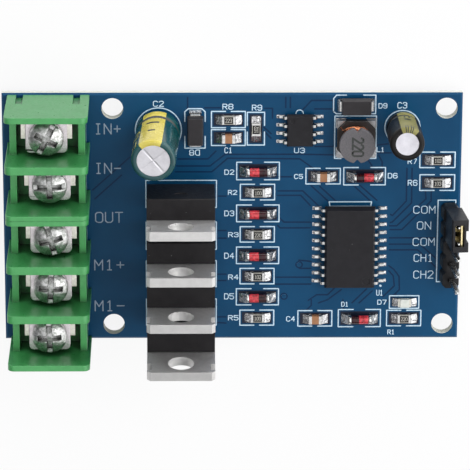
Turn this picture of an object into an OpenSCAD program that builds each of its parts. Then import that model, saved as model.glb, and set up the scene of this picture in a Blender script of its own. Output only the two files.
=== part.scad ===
// Motor driver module: circuit board with a screw terminal strip, four power
// transistors, driver chips and a control header. Millimetres, +Z up.
// The origin is the centre of the four mounting holes on the board's underside.

/* [Board] */
// length of the board along X
board_l = 68; // [60:0.5:90]
// width of the board along Y
board_w = 38.5; // [36:0.5:46]
// laminate thickness
board_t = 1.6; // [1.2:0.1:2]
// depth of the break-off bevel round the board
bevel = 0.3; // [0.1:0.05:0.4]
// mounting hole diameter
hole_d = 3.2; // [3:0.1:3.4]
// left hole centres to the board's left edge, clear of the terminal strip
hole_inset = 16.3; // [15.3:0.1:17.5]
// right hole centres to the board's right edge
hole_edge = 2.35; // [2.25:0.05:4]
// hole centres to the board's long edges
hole_side = 2.35; // [2.2:0.05:4]

/* [Terminal strip] */
// distance between poles
pole_pitch = 7.62; // [7.5:0.02:7.8]
// joint between the two blocks, from the middle of the board
joint_y = 3.6; // [3:0.1:4.2]
// gap from the board's left edge to the strip
strip_inset = 0.85; // [0.4:0.05:1]
// width of a barrier wall
wall_w = 12.1; // [11.9:0.1:12.4]
// height of a barrier wall
wall_h = 12.8; // [11:0.1:15]
// thickness of a barrier wall
wall_t = 1.2; // [1:0.05:1.4]
// corner radius of a barrier wall
wall_r = 1; // [0.5:0.1:1.5]
// width of the body between the walls
bay_w = 11; // [10.8:0.1:11.3]
// height of the body between the walls
bay_h = 6.4; // [5.6:0.1:7]
// width of a wire pocket
pocket_w = 9; // [8.8:0.1:9.4]
// terminal screw thread diameter
screw_d = 3.5; // [3:0.1:3.5]
// terminal screw head diameter
head_d = 5.1; // [5:0.1:5.6]
// clamp plate thickness
plate_t = 0.9; // [0.7:0.1:1]

/* [Transistors] */
// body width of a transistor
fet_w = 10; // [9.8:0.1:10.3]
// moulded body height
fet_body_h = 9.1; // [8.6:0.1:9.4]
// height of the tab above the body
fet_tab_h = 6.2; // [6:0.1:6.8]
// overall body thickness with the tab
fet_t = 4.6; // [4.3:0.1:4.6]
// tab thickness
tab_t = 1.4; // [1.1:0.1:1.4]
// tab hole diameter
tab_hole_d = 3.8; // [3.5:0.1:3.9]
// height of the body above the board
fet_standoff = 2.2; // [2:0.1:3]
// lead row of the first transistor, from the board's near edge
fet_first_y = 23.15; // [22.8:0.05:23.4]
// distance between lead rows
fet_pitch = 6.15; // [6.15:0.05:6.2]
// backward lean of transistor 1 in degrees
fet1_lean = -2.5; // [-3:0.5:0]
// backward lean of transistor 2 in degrees
fet2_lean = 0.5; // [-0.5:0.5:1]
// backward lean of transistor 3 in degrees
fet3_lean = 4; // [2:0.5:4.5]
// backward lean of transistor 4 in degrees
fet4_lean = 8.5; // [5:0.5:9]

/* [Capacitors] */
// large can diameter
can_a_d = 6.3; // [6:0.1:6.5]
// large can height
can_a_h = 11; // [9:0.5:12.5]
// lean of the large can in degrees
can_a_lean = 6.8; // [0:0.2:7]
// small can diameter
can_b_d = 4.8; // [4.7:0.1:5.2]
// small can height
can_b_h = 10.5; // [7:0.5:12]
// lean of the small can in degrees
can_b_lean = 4.5; // [0:0.5:5]
// thickness of a can's sleeve
sleeve_t = 0.12; // [0.1:0.01:0.15]

/* [Inductor] */
// top flange diameter
core_d = 5.3; // [5:0.1:5.5]
// core height
core_h = 4.5; // [3.5:0.1:5]
// winding diameter
winding_d = 4.5; // [4:0.1:4.7]

/* [Chips] */
// lead pitch of both chips
lead_pitch = 1.27; // [1.27:0.01:1.27]
// wide chip body width
chip_a_w = 7.5; // [7.4:0.05:7.6]
// wide chip body length
chip_a_l = 12.7; // [12.4:0.1:12.9]
// narrow chip body width
chip_b_w = 3.9; // [3.8:0.05:4]
// narrow chip body length
chip_b_l = 4.9; // [4.7:0.05:5]

/* [Small parts] */
// chip part length
chip_l = 1.85; // [1.8:0.05:2.1]
// chip part width
chip_w = 1.25; // [1.15:0.05:1.35]
// resistor height
resistor_h = 0.55; // [0.45:0.05:0.65]
// ceramic capacitor height
ceramic_h = 0.95; // [0.8:0.05:1.25]
// glass diode length over its caps
diode_l = 3.4; // [3.3:0.05:3.7]
// glass diode cap diameter
diode_d = 1.4; // [1.3:0.05:1.6]
// length of a glass diode cap
diode_cap = 0.4; // [0.3:0.05:0.5]
// rectifier body length
rectifier_l = 4.4; // [4.2:0.05:4.6]
// rectifier body width
rectifier_w = 2.4; // [2.3:0.05:2.8]
// width of a solder pad past a part's end
pad_reach = 0.95; // [0.7:0.05:1]

/* [Control header] */
// pin pitch
pin_pitch = 2.54; // [2.54:0.01:2.54]
// square pin size
pin_w = 0.64; // [0.6:0.01:0.66]
// lean of the header in degrees
header_lean = 6; // [0:0.5:6.5]
// jumper cap height
jumper_h = 6; // [5:0.1:6.4]

/* [Clearances] */
// drilled hole over the lead it takes, on diameter
lead_clear = 0.35; // [0.3:0.05:0.4]
// screw to the plate it passes through, on diameter
screw_clear = 0.4; // [0.3:0.05:0.5]
// screw to the thread it turns in, on diameter
thread_clear = 0.06; // [0.04:0.01:0.1]
// metal to the moulding that holds it, each side
grip_clear = 0.01; // [0.01:0.01:0.02]
// length of a lead below the board
stub = 1.3; // [1:0.1:1.6]
// solder pad thickness
pad_t = 0.05; // [0.03:0.01:0.08]

/* [Hidden] */
hole_span_x = board_l - hole_inset - hole_edge;
hole_span_y = board_w - 2 * hole_side;
board_right = hole_span_x / 2 + hole_edge;
board_left = board_right - board_l;
stretch_x = board_l / 70;
stretch_y = board_w / 38.5;
strip_x = board_left + strip_inset + wall_w / 2;
end_t = 0.9;
end_over = 0.4;
half_t = 0.75;
floor_h = 2.2;
contact_w = 7.5;
contact_len = 5.4;
contact_t = 1;
plate_w = 6.1;
plate_len = 4.8;
plate_r = 0.7;
contact_top = bay_h + 0.2;
plate_top = contact_top + plate_t;
head_h = 1.9;
screw_tip = 2.5;
slip = [[-0.1, -0.3], [0.3, 0.1], [0.4, -0.3], [0.3, -0.25], [0, -0.3]];
slot_turn = [63, 2, 105, 88, 92];
pin_x = -3.1;
pin_size = [0.8, 1, 1];
fet_x = along(27.15);
fet_back = 2.5;
fet_lead_t = 0.5;
fet_lead_w = 0.8;
fet_lead_pitch = 2.54;
fet_lean = [fet1_lean, fet2_lean, fet3_lean, fet4_lean];
can_lead_d = 0.6;
can_lift = 0.6;
can_a = spot(23.8, 32.85);
can_b = spot(60.95, 33.15);
can_a_turn = 149;
can_b_turn = 0;
core_at = spot(53.85, 31.65);
chip_a_at = spot(53.05, 14.95);
chip_b_at = spot(45.28, 33);
header_at = spot(68.2, 15.23);
header_lift = 0.18;
header_base_h = 2.5;
header_base_w = 2.5;
pin_top = 8.6;
jumper_y = 1.5 * pin_pitch;
jumper_w = 2.4;
jumper_left = 1;
big = 100;

// placing

module on_board(p) {
  translate([p[0], p[1], board_t]) children();
}

module leaning(p, lean, turn = 0) {
  on_board(p) rotate([0, 0, turn]) rotate([lean, 0, 0]) rotate([0, 0, -turn]) children();
}

// a place on the board follows its length and width
function along(d) = board_left + d * stretch_x;
function across(d) = -board_w / 2 + d * stretch_y;
function spot(x, y, turn = 0) = [along(x), across(y), turn];
function fet_y(i) = across(fet_first_y - i * fet_pitch);
function bay_from(k) = k == 0 ? half_t : k * pole_pitch + wall_t / 2;
function bay_to(k, poles) = k == poles - 1 ? poles * pole_pitch + end_over - end_t
  : (k + 1) * pole_pitch - wall_t / 2;
function bay_mid(k, poles) = (bay_from(k) + bay_to(k, poles)) / 2;
function pole_y(i) = i < 2 ? joint_y + bay_mid(1 - i, 2) : joint_y - bay_mid(i - 2, 3);
function pole_at(i) = [strip_x + slip[i][0], pole_y(i) + slip[i][1]];

column_x = 38.98;
column_pitch = 6.6;
diode_row = [for (i = [0:3]) spot(column_x, 26.47 - i * column_pitch)];
glass_diode_at = concat(diode_row, [spot(54.81, 3.22), spot(55.29, 25.63)]);
gate_row = [for (i = [0:3]) spot(column_x, 23.17 - i * column_pitch)];
resistor_at = concat(gate_row, [spot(61.69, 3.21), spot(66.42, 24.62), spot(66.39, 28.16),
  spot(34.44, 34.44), spot(38.63, 33.02, 90)]);
ceramic_at = [spot(34.45, 31.65), spot(48.95, 25.65), spot(47.92, 3.19)];
led_at = [spot(61.71, 5.76)];
rectifier_1_at = spot(29.37, 33.07, 90);
rectifier_2_at = spot(53.8, 36.74);

// board

module bevelled_slab(len, wid, t, b) {
  rotate([90, 0, 90]) linear_extrude(len)
    polygon([[0, b], [b, 0], [wid - b, 0], [wid, b], [wid, t - b], [wid - b, t], [b, t], [0, t - b]]);
}

module drill(p, d) {
  translate([p[0], p[1], -1]) cylinder(h = board_t + 2, d = d, $fn = 32);
}

module board() {
  color([0.1, 0.3, 0.5]) difference() {
    intersection() {
      translate([board_left, -board_w / 2, 0]) bevelled_slab(board_l, board_w, board_t, bevel);
      translate([board_right, -board_w / 2, 0]) rotate([0, 0, 90])
        bevelled_slab(board_w, board_l, board_t, bevel);
    }
    for (sx = [-1, 1]) for (sy = [-1, 1]) drill([sx * hole_span_x / 2, sy * hole_span_y / 2], hole_d);
    for (i = [0:4]) drill([pole_at(i)[0] + pin_x, pole_at(i)[1]], 1.3 + lead_clear);
    for (i = [0:3]) for (k = [-1:1]) drill([fet_x + k * fet_lead_pitch, fet_y(i)], 0.95 + lead_clear);
    for (s = [-1, 1]) drill([can_a[0] + s * 1.25, can_a[1]], can_lead_d + lead_clear);
    for (s = [-1, 1]) drill([can_b[0] + s, can_b[1]], can_lead_d + lead_clear);
    for (k = [-2:2]) drill([header_at[0], header_at[1] + k * pin_pitch], 0.91 + lead_clear);
  }
}

// terminal strip

module barrier_wall(y, t) {
  translate([0, y + t, 0]) rotate([90, 0, 0]) linear_extrude(t) {
    translate([-wall_w / 2, 0]) square([wall_w, wall_h - wall_r]);
    translate([-wall_w / 2 + wall_r, 0]) square([wall_w - 2 * wall_r, wall_h]);
    for (s = [-1, 1]) translate([s * (wall_w / 2 - wall_r), wall_h - wall_r]) circle(r = wall_r, $fn = 32);
  }
}

module housing(poles, first, flip) {
  run = poles * pole_pitch;
  difference() {
    union() {
      translate([-bay_w / 2, 0, 0]) cube([bay_w, run + end_over, bay_h]);
      barrier_wall(0, half_t);
      for (k = [1:poles - 1]) barrier_wall(k * pole_pitch - wall_t / 2, wall_t);
      barrier_wall(run + end_over - end_t, end_t);
    }
    for (k = [0:poles - 1]) {
      translate([-pocket_w / 2, bay_from(k), floor_h])
        cube([pocket_w, bay_to(k, poles) - bay_from(k), big]);
      translate([0, bay_mid(k, poles), 0])
        pin_slot(slip[flip > 0 ? first - k : first + k], flip);
    }
    for (s = [-1, 1]) translate([s * 4.2 - 0.5, run + end_over - 0.65, -1]) cube([1, 1, 6.2]);
    translate([-big / 2, run + end_over - 0.2, -1]) cube([big, 1, 6.4]);
    translate([-big / 2, run + end_over - 0.4, 5.2]) cube([big, 1, 0.2]);
    for (s = [-1, 1]) translate([s * bay_w / 2 - 0.4, half_t, -1]) cube([0.8, run - 2 * half_t, 1.6]);
  }
}

module pin_slot(s, flip) {
  translate([s[0] + pin_x - pin_size[0] / 2 - grip_clear, flip * s[1] - pin_size[1] / 2 - grip_clear, -1])
    cube([pin_size[0] + 2 * grip_clear, pin_size[1] + 2 * grip_clear, floor_h + 2]);
}

module terminal_housing_2p() {
  color([0.25, 0.65, 0.33]) translate([strip_x, joint_y, board_t]) housing(2, 1, 1);
}

module terminal_housing_3p() {
  color([0.25, 0.65, 0.33]) translate([strip_x, joint_y, board_t]) mirror([0, 1, 0]) housing(3, 2, -1);
}

module screw(i) {
  on_board(pole_at(i)) difference() {
    union() {
      intersection() {
        translate([0, 0, plate_top]) cylinder(h = head_h, d = head_d, $fn = 48);
        translate([0, 0, plate_top + head_h - 4.1]) sphere(r = 4.1, $fn = 64);
      }
      translate([0, 0, screw_tip]) cylinder(h = plate_top - screw_tip + 0.5, d = screw_d, $fn = 32);
    }
    rotate([0, 0, slot_turn[i]]) {
      translate([-head_d, -0.4, plate_top + head_h - 0.75]) cube([2 * head_d, 0.8, 2]);
      translate([-0.4, -1.75, plate_top + head_h - 1.2]) cube([0.8, 3.5, 2]);
      translate([-1.75, -0.4, plate_top + head_h - 1.2]) cube([3.5, 0.8, 2]);
    }
  }
}

module terminal_screws() {
  color([0.8, 0.8, 0.8]) for (i = [0:4]) screw(i);
}

module clamp_plate(i) {
  color([0.85, 0.85, 0.83]) on_board(pole_at(i)) translate([0, 0, contact_top]) linear_extrude(plate_t)
    difference() {
      union() {
        translate([-plate_w / 2, -plate_len / 2 + plate_r]) square([plate_w, plate_len - plate_r]);
        translate([-plate_w / 2 + plate_r, -plate_len / 2]) square([plate_w - 2 * plate_r, plate_len]);
        for (s = [-1, 1]) translate([s * (plate_w / 2 - plate_r), -plate_len / 2 + plate_r])
          circle(r = plate_r, $fn = 32);
      }
      circle(d = screw_d + screw_clear, $fn = 32);
    }
}

module contact(i) {
  color([0.8, 0.78, 0.7]) on_board(pole_at(i)) {
    difference() {
      union() {
        translate([-contact_w / 2, -pin_size[1] / 2, floor_h])
          cube([contact_w, (contact_len + pin_size[1]) / 2, contact_top - floor_h]);
        translate([-plate_w / 2 + 0.1, -plate_len / 2, floor_h])
          cube([plate_w - 0.2, plate_len, contact_top - floor_h]);
      }
      translate([-contact_w / 2 + 0.8, -contact_len, floor_h - 1])
        cube([contact_w - 1.6, 2 * contact_len, contact_top - contact_t - floor_h + 1]);
      translate([0, 0, floor_h]) cylinder(h = bay_h, d = screw_d + thread_clear, $fn = 32);
    }
    translate([pin_x - pin_size[0] / 2, -pin_size[1] / 2, -board_t - stub])
      cube([pin_size[0], pin_size[1], board_t + stub + floor_h + 0.1]);
  }
}

module clamp_plate_1() { clamp_plate(0); }
module clamp_plate_2() { clamp_plate(1); }
module clamp_plate_3() { clamp_plate(2); }
module clamp_plate_4() { clamp_plate(3); }
module clamp_plate_5() { clamp_plate(4); }
module contact_1() { contact(0); }
module contact_2() { contact(1); }
module contact_3() { contact(2); }
module contact_4() { contact(3); }
module contact_5() { contact(4); }

// power transistors
// local frame: the lead row lies on y = 0, the mounting face looks to -Y

module lead_block(x, w, from, to, grow = 0) {
  translate([x - w / 2 - grow, -fet_lead_t / 2 - grow, from])
    cube([w + 2 * grow, fet_lead_t + 2 * grow, to - from]);
}

module fet_lead_upper(x, grow = 0) {
  lead_block(x, fet_lead_w, 0.2, fet_standoff + 3 + grow, grow);
  lead_block(x, 1.3, 0.7, fet_standoff + 0.9 + grow, grow);
}

module fet_lead_lower(i, x) {
  on_board([fet_x, fet_y(i)]) lead_block(x, fet_lead_w, -board_t - stub, 0.6);
}

module tab_outline() {
  h = fet_body_h + fet_tab_h;
  difference() {
    polygon([[-fet_w / 2 + 0.2, 0], [fet_w / 2 - 0.2, 0], [fet_w / 2, 0.3], [fet_w / 2, h - 0.5],
      [fet_w / 2 - 0.5, h], [-fet_w / 2 + 0.5, h], [-fet_w / 2, h - 0.5], [-fet_w / 2, 0.3]]);
    translate([0, h - 2.8]) circle(d = tab_hole_d, $fn = 40);
    for (s = [-1, 1]) translate([s * (fet_w / 2 + 0.35), h - 1.75]) square([2, 1.8], center = true);
  }
}

module fet_tab_plate() {
  translate([0, -fet_back + tab_t, fet_standoff]) rotate([90, 0, 0]) linear_extrude(tab_t) tab_outline();
}

module fet_metal(grow = 0) {
  translate([-fet_lead_w / 2 - grow, -fet_back + 0.5, fet_standoff + 2.2 - grow])
    cube([fet_lead_w + 2 * grow, fet_back - 0.5, 0.8 + 2 * grow]);
  for (k = [-1:1]) fet_lead_upper(k * fet_lead_pitch, grow);
}

module fet_body(i) {
  front = fet_t - fet_back;
  base = -fet_back + tab_t;
  color([0.13, 0.13, 0.14]) leaning([fet_x, fet_y(i)], fet_lean[i]) difference() {
    translate([-fet_w / 2, 0, fet_standoff]) rotate([90, 0, 90]) linear_extrude(fet_w)
      polygon([[base, 0], [front - 0.25, 0], [front, 0.8], [front, fet_body_h - 0.15],
        [front - 0.15, fet_body_h], [base, fet_body_h]]);
    fet_metal(grip_clear);
    translate([0, front + 0.5, fet_standoff + 6.6]) rotate([90, 0, 0]) cylinder(h = 0.6, d = 2, $fn = 24);
  }
}

module fet_tab(i) {
  color([0.8, 0.8, 0.8]) {
    leaning([fet_x, fet_y(i)], fet_lean[i]) {
      fet_tab_plate();
      translate([-fet_lead_w / 2, -fet_back + 0.5, fet_standoff + 2.2])
        cube([fet_lead_w, fet_back - 0.4, 0.8]);
      fet_lead_upper(0);
    }
    fet_lead_lower(i, 0);
  }
}

module fet_leads(i) {
  color([0.8, 0.8, 0.8]) for (s = [-1, 1]) {
    leaning([fet_x, fet_y(i)], fet_lean[i]) fet_lead_upper(s * fet_lead_pitch);
    fet_lead_lower(i, s * fet_lead_pitch);
  }
}

module fet1_body() { fet_body(0); }
module fet1_tab() { fet_tab(0); }
module fet1_leads() { fet_leads(0); }
module fet2_body() { fet_body(1); }
module fet2_tab() { fet_tab(1); }
module fet2_leads() { fet_leads(1); }
module fet3_body() { fet_body(2); }
module fet3_tab() { fet_tab(2); }
module fet3_leads() { fet_leads(2); }
module fet4_body() { fet_body(3); }
module fet4_tab() { fet_tab(3); }
module fet4_leads() { fet_leads(3); }

// electrolytic capacitors

module can_solid(r, h, rim) {
  rotate_extrude($fn = 48) {
    square([r, 1]);
    polygon([[0, 0.9], [r, 1], [r - 0.35, 1.35], [r - 0.35, 1.65], [r, 2], [0, 2.1]]);
    translate([0, 2]) square([r, h - 2 - rim]);
    square([r - rim, h]);
    translate([r - rim, h - rim]) circle(r = rim, $fn = 32);
  }
}

module can(d, h) {
  difference() {
    can_solid(d / 2, h, 0.5);
    translate([0, 0, -1]) cylinder(h = 2.2, r = d / 2 - 0.6, $fn = 48);
  }
}

module sleeve(d, h) {
  difference() {
    translate([0, 0, 0.15]) cylinder(h = h + sleeve_t - 0.15, r = d / 2 + sleeve_t, $fn = 48);
    translate([0, 0, -1]) cylinder(h = h + 1, r = d / 2, $fn = 48);
    translate([0, 0, h - 1]) cylinder(h = 3, r = d / 2 - 0.72, $fn = 48);
  }
}

module bung(d, spacing) {
  difference() {
    translate([0, 0, 0.05]) cylinder(h = 1.1, r = d / 2 - 0.6, $fn = 32);
    for (s = [-1, 1]) translate([s * spacing / 2, 0, -1])
      cylinder(h = 3, d = can_lead_d + 2 * grip_clear, $fn = 16);
  }
}

module can_lead_upper(s, spacing) {
  translate([s * spacing / 2, 0, -can_lift + 0.15]) cylinder(h = can_lift + 0.95, d = can_lead_d, $fn = 16);
}

module can_leads(p, spacing, lean, turn) {
  for (s = [-1, 1]) {
    on_board([p[0] + s * spacing / 2, p[1]]) translate([0, 0, -board_t - stub])
      cylinder(h = board_t + stub + 0.3, d = can_lead_d, $fn = 16);
    leaning(p, lean, turn) translate([0, 0, can_lift]) can_lead_upper(s, spacing);
  }
}

module cap_a_can() {
  color([0.85, 0.85, 0.86]) leaning(can_a, can_a_lean, can_a_turn - 180) translate([0, 0, can_lift])
    can(can_a_d, can_a_h);
}
module cap_a_sleeve() {
  color([0.1, 0.32, 0.33]) leaning(can_a, can_a_lean, can_a_turn - 180) translate([0, 0, can_lift])
    sleeve(can_a_d, can_a_h);
}
module cap_a_bung() {
  color([0.15, 0.15, 0.15]) leaning(can_a, can_a_lean, can_a_turn - 180) translate([0, 0, can_lift])
    bung(can_a_d, 2.5);
}
module cap_a_leads() {
  color([0.8, 0.8, 0.8]) can_leads(can_a, 2.5, can_a_lean, can_a_turn - 180);
}
module cap_b_can() {
  color([0.85, 0.85, 0.86]) leaning(can_b, -can_b_lean, can_b_turn) translate([0, 0, can_lift])
    can(can_b_d, can_b_h);
}
module cap_b_sleeve() {
  color([0.22, 0.18, 0.17]) leaning(can_b, -can_b_lean, can_b_turn) translate([0, 0, can_lift])
    sleeve(can_b_d, can_b_h);
}
module cap_b_bung() {
  color([0.15, 0.15, 0.15]) leaning(can_b, -can_b_lean, can_b_turn) translate([0, 0, can_lift])
    bung(can_b_d, 2);
}
module cap_b_leads() {
  color([0.8, 0.8, 0.8]) can_leads(can_b, 2, -can_b_lean, can_b_turn);
}

// drum inductor

module corner_cut_square(w, c) {
  h = w / 2;
  polygon([[-h + c, -h], [h - c, -h], [h, -h + c], [h, h - c],
    [h - c, h], [-h + c, h], [-h, h - c], [-h, -h + c]]);
}

module inductor_core() {
  color([0.35, 0.34, 0.36]) on_board(core_at) difference() {
    union() {
      translate([0, 0, 0.15]) linear_extrude(1) corner_cut_square(5.7, 1.35);
      cylinder(h = core_h - 0.5, d = 2.4, $fn = 32);
      translate([0, 0, core_h - 1]) cylinder(h = 1, d = core_d, $fn = 64);
    }
    translate([0, 0, -1]) cube([10, 10, 2.3], center = true);
    for (s = [-1, 1]) translate([0, s * core_d / 2, core_h - 0.5]) rotate([0, 0, 45])
      cube([0.85, 0.85, 2], center = true);
  }
}

module inductor_winding() {
  color([0.75, 0.4, 0.22]) on_board(core_at) translate([0, 0, 1.2]) difference() {
    cylinder(h = core_h - 2.25, d = winding_d, $fn = 48);
    translate([0, 0, -1]) cylinder(h = core_h, d = 2.4 + 2 * grip_clear, $fn = 32);
  }
}

module inductor_terminals() {
  color([0.85, 0.85, 0.85]) on_board(core_at) for (a = [0:90:270]) rotate([0, 0, a])
    translate([0, 0, pad_t]) linear_extrude(0.95)
      polygon([[2.85, 1.56], [2.85, 2.85], [1.56, 2.85]]);
}

// chips

module moulded(w, l, from, to, draft) {
  m = (from + to) / 2;
  intersection() {
    translate([0, l / 2, 0]) rotate([90, 0, 0]) linear_extrude(l)
      polygon([[-w / 2 + draft, from], [w / 2 - draft, from], [w / 2, m - 0.1], [w / 2, m + 0.1],
        [w / 2 - draft, to], [-w / 2 + draft, to], [-w / 2, m + 0.1], [-w / 2, m - 0.1]]);
    translate([-w / 2, 0, 0]) rotate([90, 0, 90]) linear_extrude(w)
      polygon([[-l / 2 + draft, from], [l / 2 - draft, from], [l / 2, m - 0.1], [l / 2, m + 0.1],
        [l / 2 - draft, to], [-l / 2 + draft, to], [-l / 2, m + 0.1], [-l / 2, m - 0.1]]);
  }
}

module gull_lead(inner, outer, shoulder, thick, wide) {
  translate([0, wide / 2, 0]) rotate([90, 0, 0]) linear_extrude(wide)
    polygon([[inner - 0.3, shoulder], [inner + 0.35, shoulder], [inner + 0.6, shoulder - 0.25],
      [outer - 0.75, thick + 0.15], [outer - 0.6, thick], [outer, thick], [outer, 0], [outer - 0.75, 0],
      [outer - 0.95, 0.18], [inner + 0.38, shoulder - thick - 0.08], [inner + 0.26, shoulder - thick],
      [inner - 0.3, shoulder - thick]]);
}

module lead_rows(count, inner, outer, shoulder, thick) {
  for (k = [0:count - 1]) for (a = [0, 180])
    translate([0, (k - (count - 1) / 2) * lead_pitch, pad_t]) rotate([0, 0, a])
      gull_lead(inner, outer, shoulder, thick, 0.42);
}

module driver_chip_leads() {
  color([0.8, 0.8, 0.8]) on_board(chip_a_at) lead_rows(10, chip_a_w / 2, 5.2, 1.4, 0.25);
}
module driver_chip_body() {
  color([0.14, 0.14, 0.15]) difference() {
    on_board(chip_a_at) moulded(chip_a_w, chip_a_l, 0.2, 2.45, 0.3);
    on_board(chip_a_at) lead_rows(10, chip_a_w / 2 - grip_clear, 5.2, 1.4, 0.25);
    on_board(chip_a_at) translate([chip_a_w / 2 - 1.3, -chip_a_l / 2 + 1.3, 2.35])
      cylinder(h = 1, d = 1.2, $fn = 24);
  }
}
module regulator_chip_leads() {
  color([0.8, 0.8, 0.8]) on_board(chip_b_at) lead_rows(4, chip_b_w / 2, 3.05, 0.95, 0.22);
}
module regulator_chip_body() {
  color([0.14, 0.14, 0.15]) difference() {
    on_board(chip_b_at) moulded(chip_b_w, chip_b_l, 0.15, 1.6, 0.2);
    on_board(chip_b_at) lead_rows(4, chip_b_w / 2 - grip_clear, 3.05, 0.95, 0.22);
    on_board(chip_b_at) translate([-chip_b_w / 2 + 0.85, chip_b_l / 2 - 0.85, 1.5])
      cylinder(h = 1, d = 0.7, $fn = 16);
  }
}

// rectifiers

module rectifier_strap() {
  out = rectifier_l / 2 + 0.28;
  for (s = [0, 180]) rotate([0, 0, s]) translate([0, 0.75, pad_t]) rotate([90, 0, 0]) linear_extrude(1.5)
    polygon([[out - 1.4, 0], [out, 0], [out, 1.15], [out - 0.6, 1.15], [out - 0.6, 0.95],
      [out - 0.18, 0.95], [out - 0.18, 0.18], [out - 1.4, 0.18]]);
}

module rectifier_block() {
  difference() {
    moulded(rectifier_l, rectifier_w, 0.27, 2.15, 0.15);
    rectifier_strap();
  }
}

module rectifier_1_body() {
  color([0.15, 0.14, 0.15]) on_board(rectifier_1_at) rotate([0, 0, rectifier_1_at[2]]) rectifier_block();
}
module rectifier_1_terminals() {
  color([0.8, 0.8, 0.8]) on_board(rectifier_1_at) rotate([0, 0, rectifier_1_at[2]]) rectifier_strap();
}
module rectifier_2_body() {
  color([0.15, 0.14, 0.15]) on_board(rectifier_2_at) rotate([0, 0, rectifier_2_at[2]]) rectifier_block();
}
module rectifier_2_terminals() {
  color([0.8, 0.8, 0.8]) on_board(rectifier_2_at) rotate([0, 0, rectifier_2_at[2]]) rectifier_strap();
}

// small two-ended parts

module at_each(places) {
  for (p = places) on_board(p) rotate([0, 0, p[2]]) children();
}

module glass_diode_bodies() {
  color([0.8, 0.25, 0.2]) at_each(glass_diode_at) translate([-diode_l / 2 + diode_cap, 0, diode_d / 2 + pad_t])
    rotate([0, 90, 0]) cylinder(h = diode_l - 2 * diode_cap, d = diode_d - 0.1, $fn = 24);
}
module glass_diode_caps() {
  color([0.82, 0.82, 0.82]) at_each(glass_diode_at) for (s = [0, 180]) rotate([0, 0, s])
    translate([diode_l / 2 - diode_cap, 0, diode_d / 2 + pad_t]) rotate([0, 90, 0])
      cylinder(h = diode_cap, d = diode_d, $fn = 24);
}

module chip_core(l, w, h) {
  translate([-l / 2, -w / 2, pad_t + 0.03]) cube([l, w, h - 0.06]);
}

module chip_caps(l, w, h, band) {
  for (s = [0, 180]) rotate([0, 0, s]) difference() {
    translate([l / 2 - band, -w / 2 - 0.01, pad_t]) cube([band + 0.03, w + 0.02, h]);
    chip_core(l, w, h);
  }
}

module resistor_bodies() {
  color([0.12, 0.12, 0.12]) at_each(resistor_at) chip_core(chip_l, chip_w, resistor_h);
}
module resistor_caps() {
  color([0.85, 0.84, 0.82]) at_each(resistor_at) chip_caps(chip_l, chip_w, resistor_h, 0.26);
}
module ceramic_bodies() {
  color([0.62, 0.4, 0.25]) at_each(ceramic_at) chip_core(chip_l, chip_w, ceramic_h);
}
module ceramic_caps() {
  color([0.85, 0.84, 0.82]) at_each(ceramic_at) chip_caps(chip_l, chip_w, ceramic_h, 0.4);
}
module led_body() {
  color([0.85, 0.9, 0.82]) at_each(led_at) {
    chip_core(chip_l, chip_w, 0.45);
    translate([-chip_l / 2 + 0.25, -chip_w / 2, pad_t + 0.4]) cube([chip_l - 0.5, chip_w, 0.4]);
  }
}
module led_terminals() {
  color([0.85, 0.84, 0.7]) at_each(led_at) difference() {
    chip_caps(chip_l, chip_w, 0.45, 0.22);
    translate([-chip_l / 2 + 0.24, -chip_w, pad_t + 0.3]) cube([chip_l - 0.48, 2 * chip_w, 1]);
  }
}

// control header and jumper
// local frame: the header turns about the middle of the board

module header_frame() {
  translate([header_at[0], header_at[1], board_t / 2]) rotate([0, header_lean, 0]) children();
}

module pin_profile(w, from, to) {
  translate([0, w / 2, 0]) rotate([90, 0, 0]) linear_extrude(w)
    polygon([[-w / 2, from], [w / 2, from], [w / 2, to - 0.4],
      [w / 5, to], [-w / 5, to], [-w / 2, to - 0.4]]);
}

module header_pin(k, grow = 0) {
  w = pin_w + 2 * grow;
  from = -board_t / 2 - stub - 0.1;
  to = board_t / 2 + pin_top;
  translate([0, k * pin_pitch, 0]) intersection() {
    pin_profile(w, from, to);
    rotate([0, 0, 90]) pin_profile(w, from, to);
  }
}

module header_pins() {
  color([0.82, 0.8, 0.75]) header_frame() for (k = [-2:2]) header_pin(k);
}

module header_base() {
  a = header_base_w / 2;
  b = pin_pitch / 2;
  c = 0.5;
  color([0.1, 0.1, 0.11]) header_frame() difference() {
    for (k = [-2:2]) translate([0, k * pin_pitch, board_t / 2 + header_lift]) linear_extrude(header_base_h)
      polygon([[-a, -b + c], [-a + c, -b], [a - c, -b], [a, -b + c],
        [a, b - c], [a - c, b], [-a + c, b], [-a, b - c]]);
    for (k = [-2:2]) header_pin(k, grip_clear);
  }
}

module jumper_frame() {
  header_frame() translate([0, jumper_y, board_t / 2 + header_lift + header_base_h + 0.05]) children();
}

module jumper_cap() {
  color([0.1, 0.1, 0.11]) jumper_frame() difference() {
    translate([-jumper_left, -2.5, 0]) cube([jumper_w, 5, jumper_h]);
    translate([-0.7, -2, -1]) cube([1.65, 4, jumper_h + 0.5]);
    translate([-0.6, -1.65, -1]) cube([1.35, 3.3, big]);
    translate([jumper_w - jumper_left - 0.35, -1, -1]) cube([2, 1.8, big]);
    translate([-jumper_left - 1, -3, jumper_h - 0.5]) cube([1.1, 6, 1]);
  }
}

module jumper_contact() {
  color([0.8, 0.65, 0.35]) jumper_frame() {
    translate([pin_w / 2 + 0.05, -1.9, 0.6]) cube([0.25, 3.8, jumper_h - 1.2]);
    translate([-pin_w / 2 - 0.3, -1.9, 0.6]) cube([0.25, 3.8, 2.6]);
    translate([-pin_w / 2 - 0.1, -0.6, 0.6]) cube([pin_w + 0.25, 1.2, 1.4]);
  }
}

// solder

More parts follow.
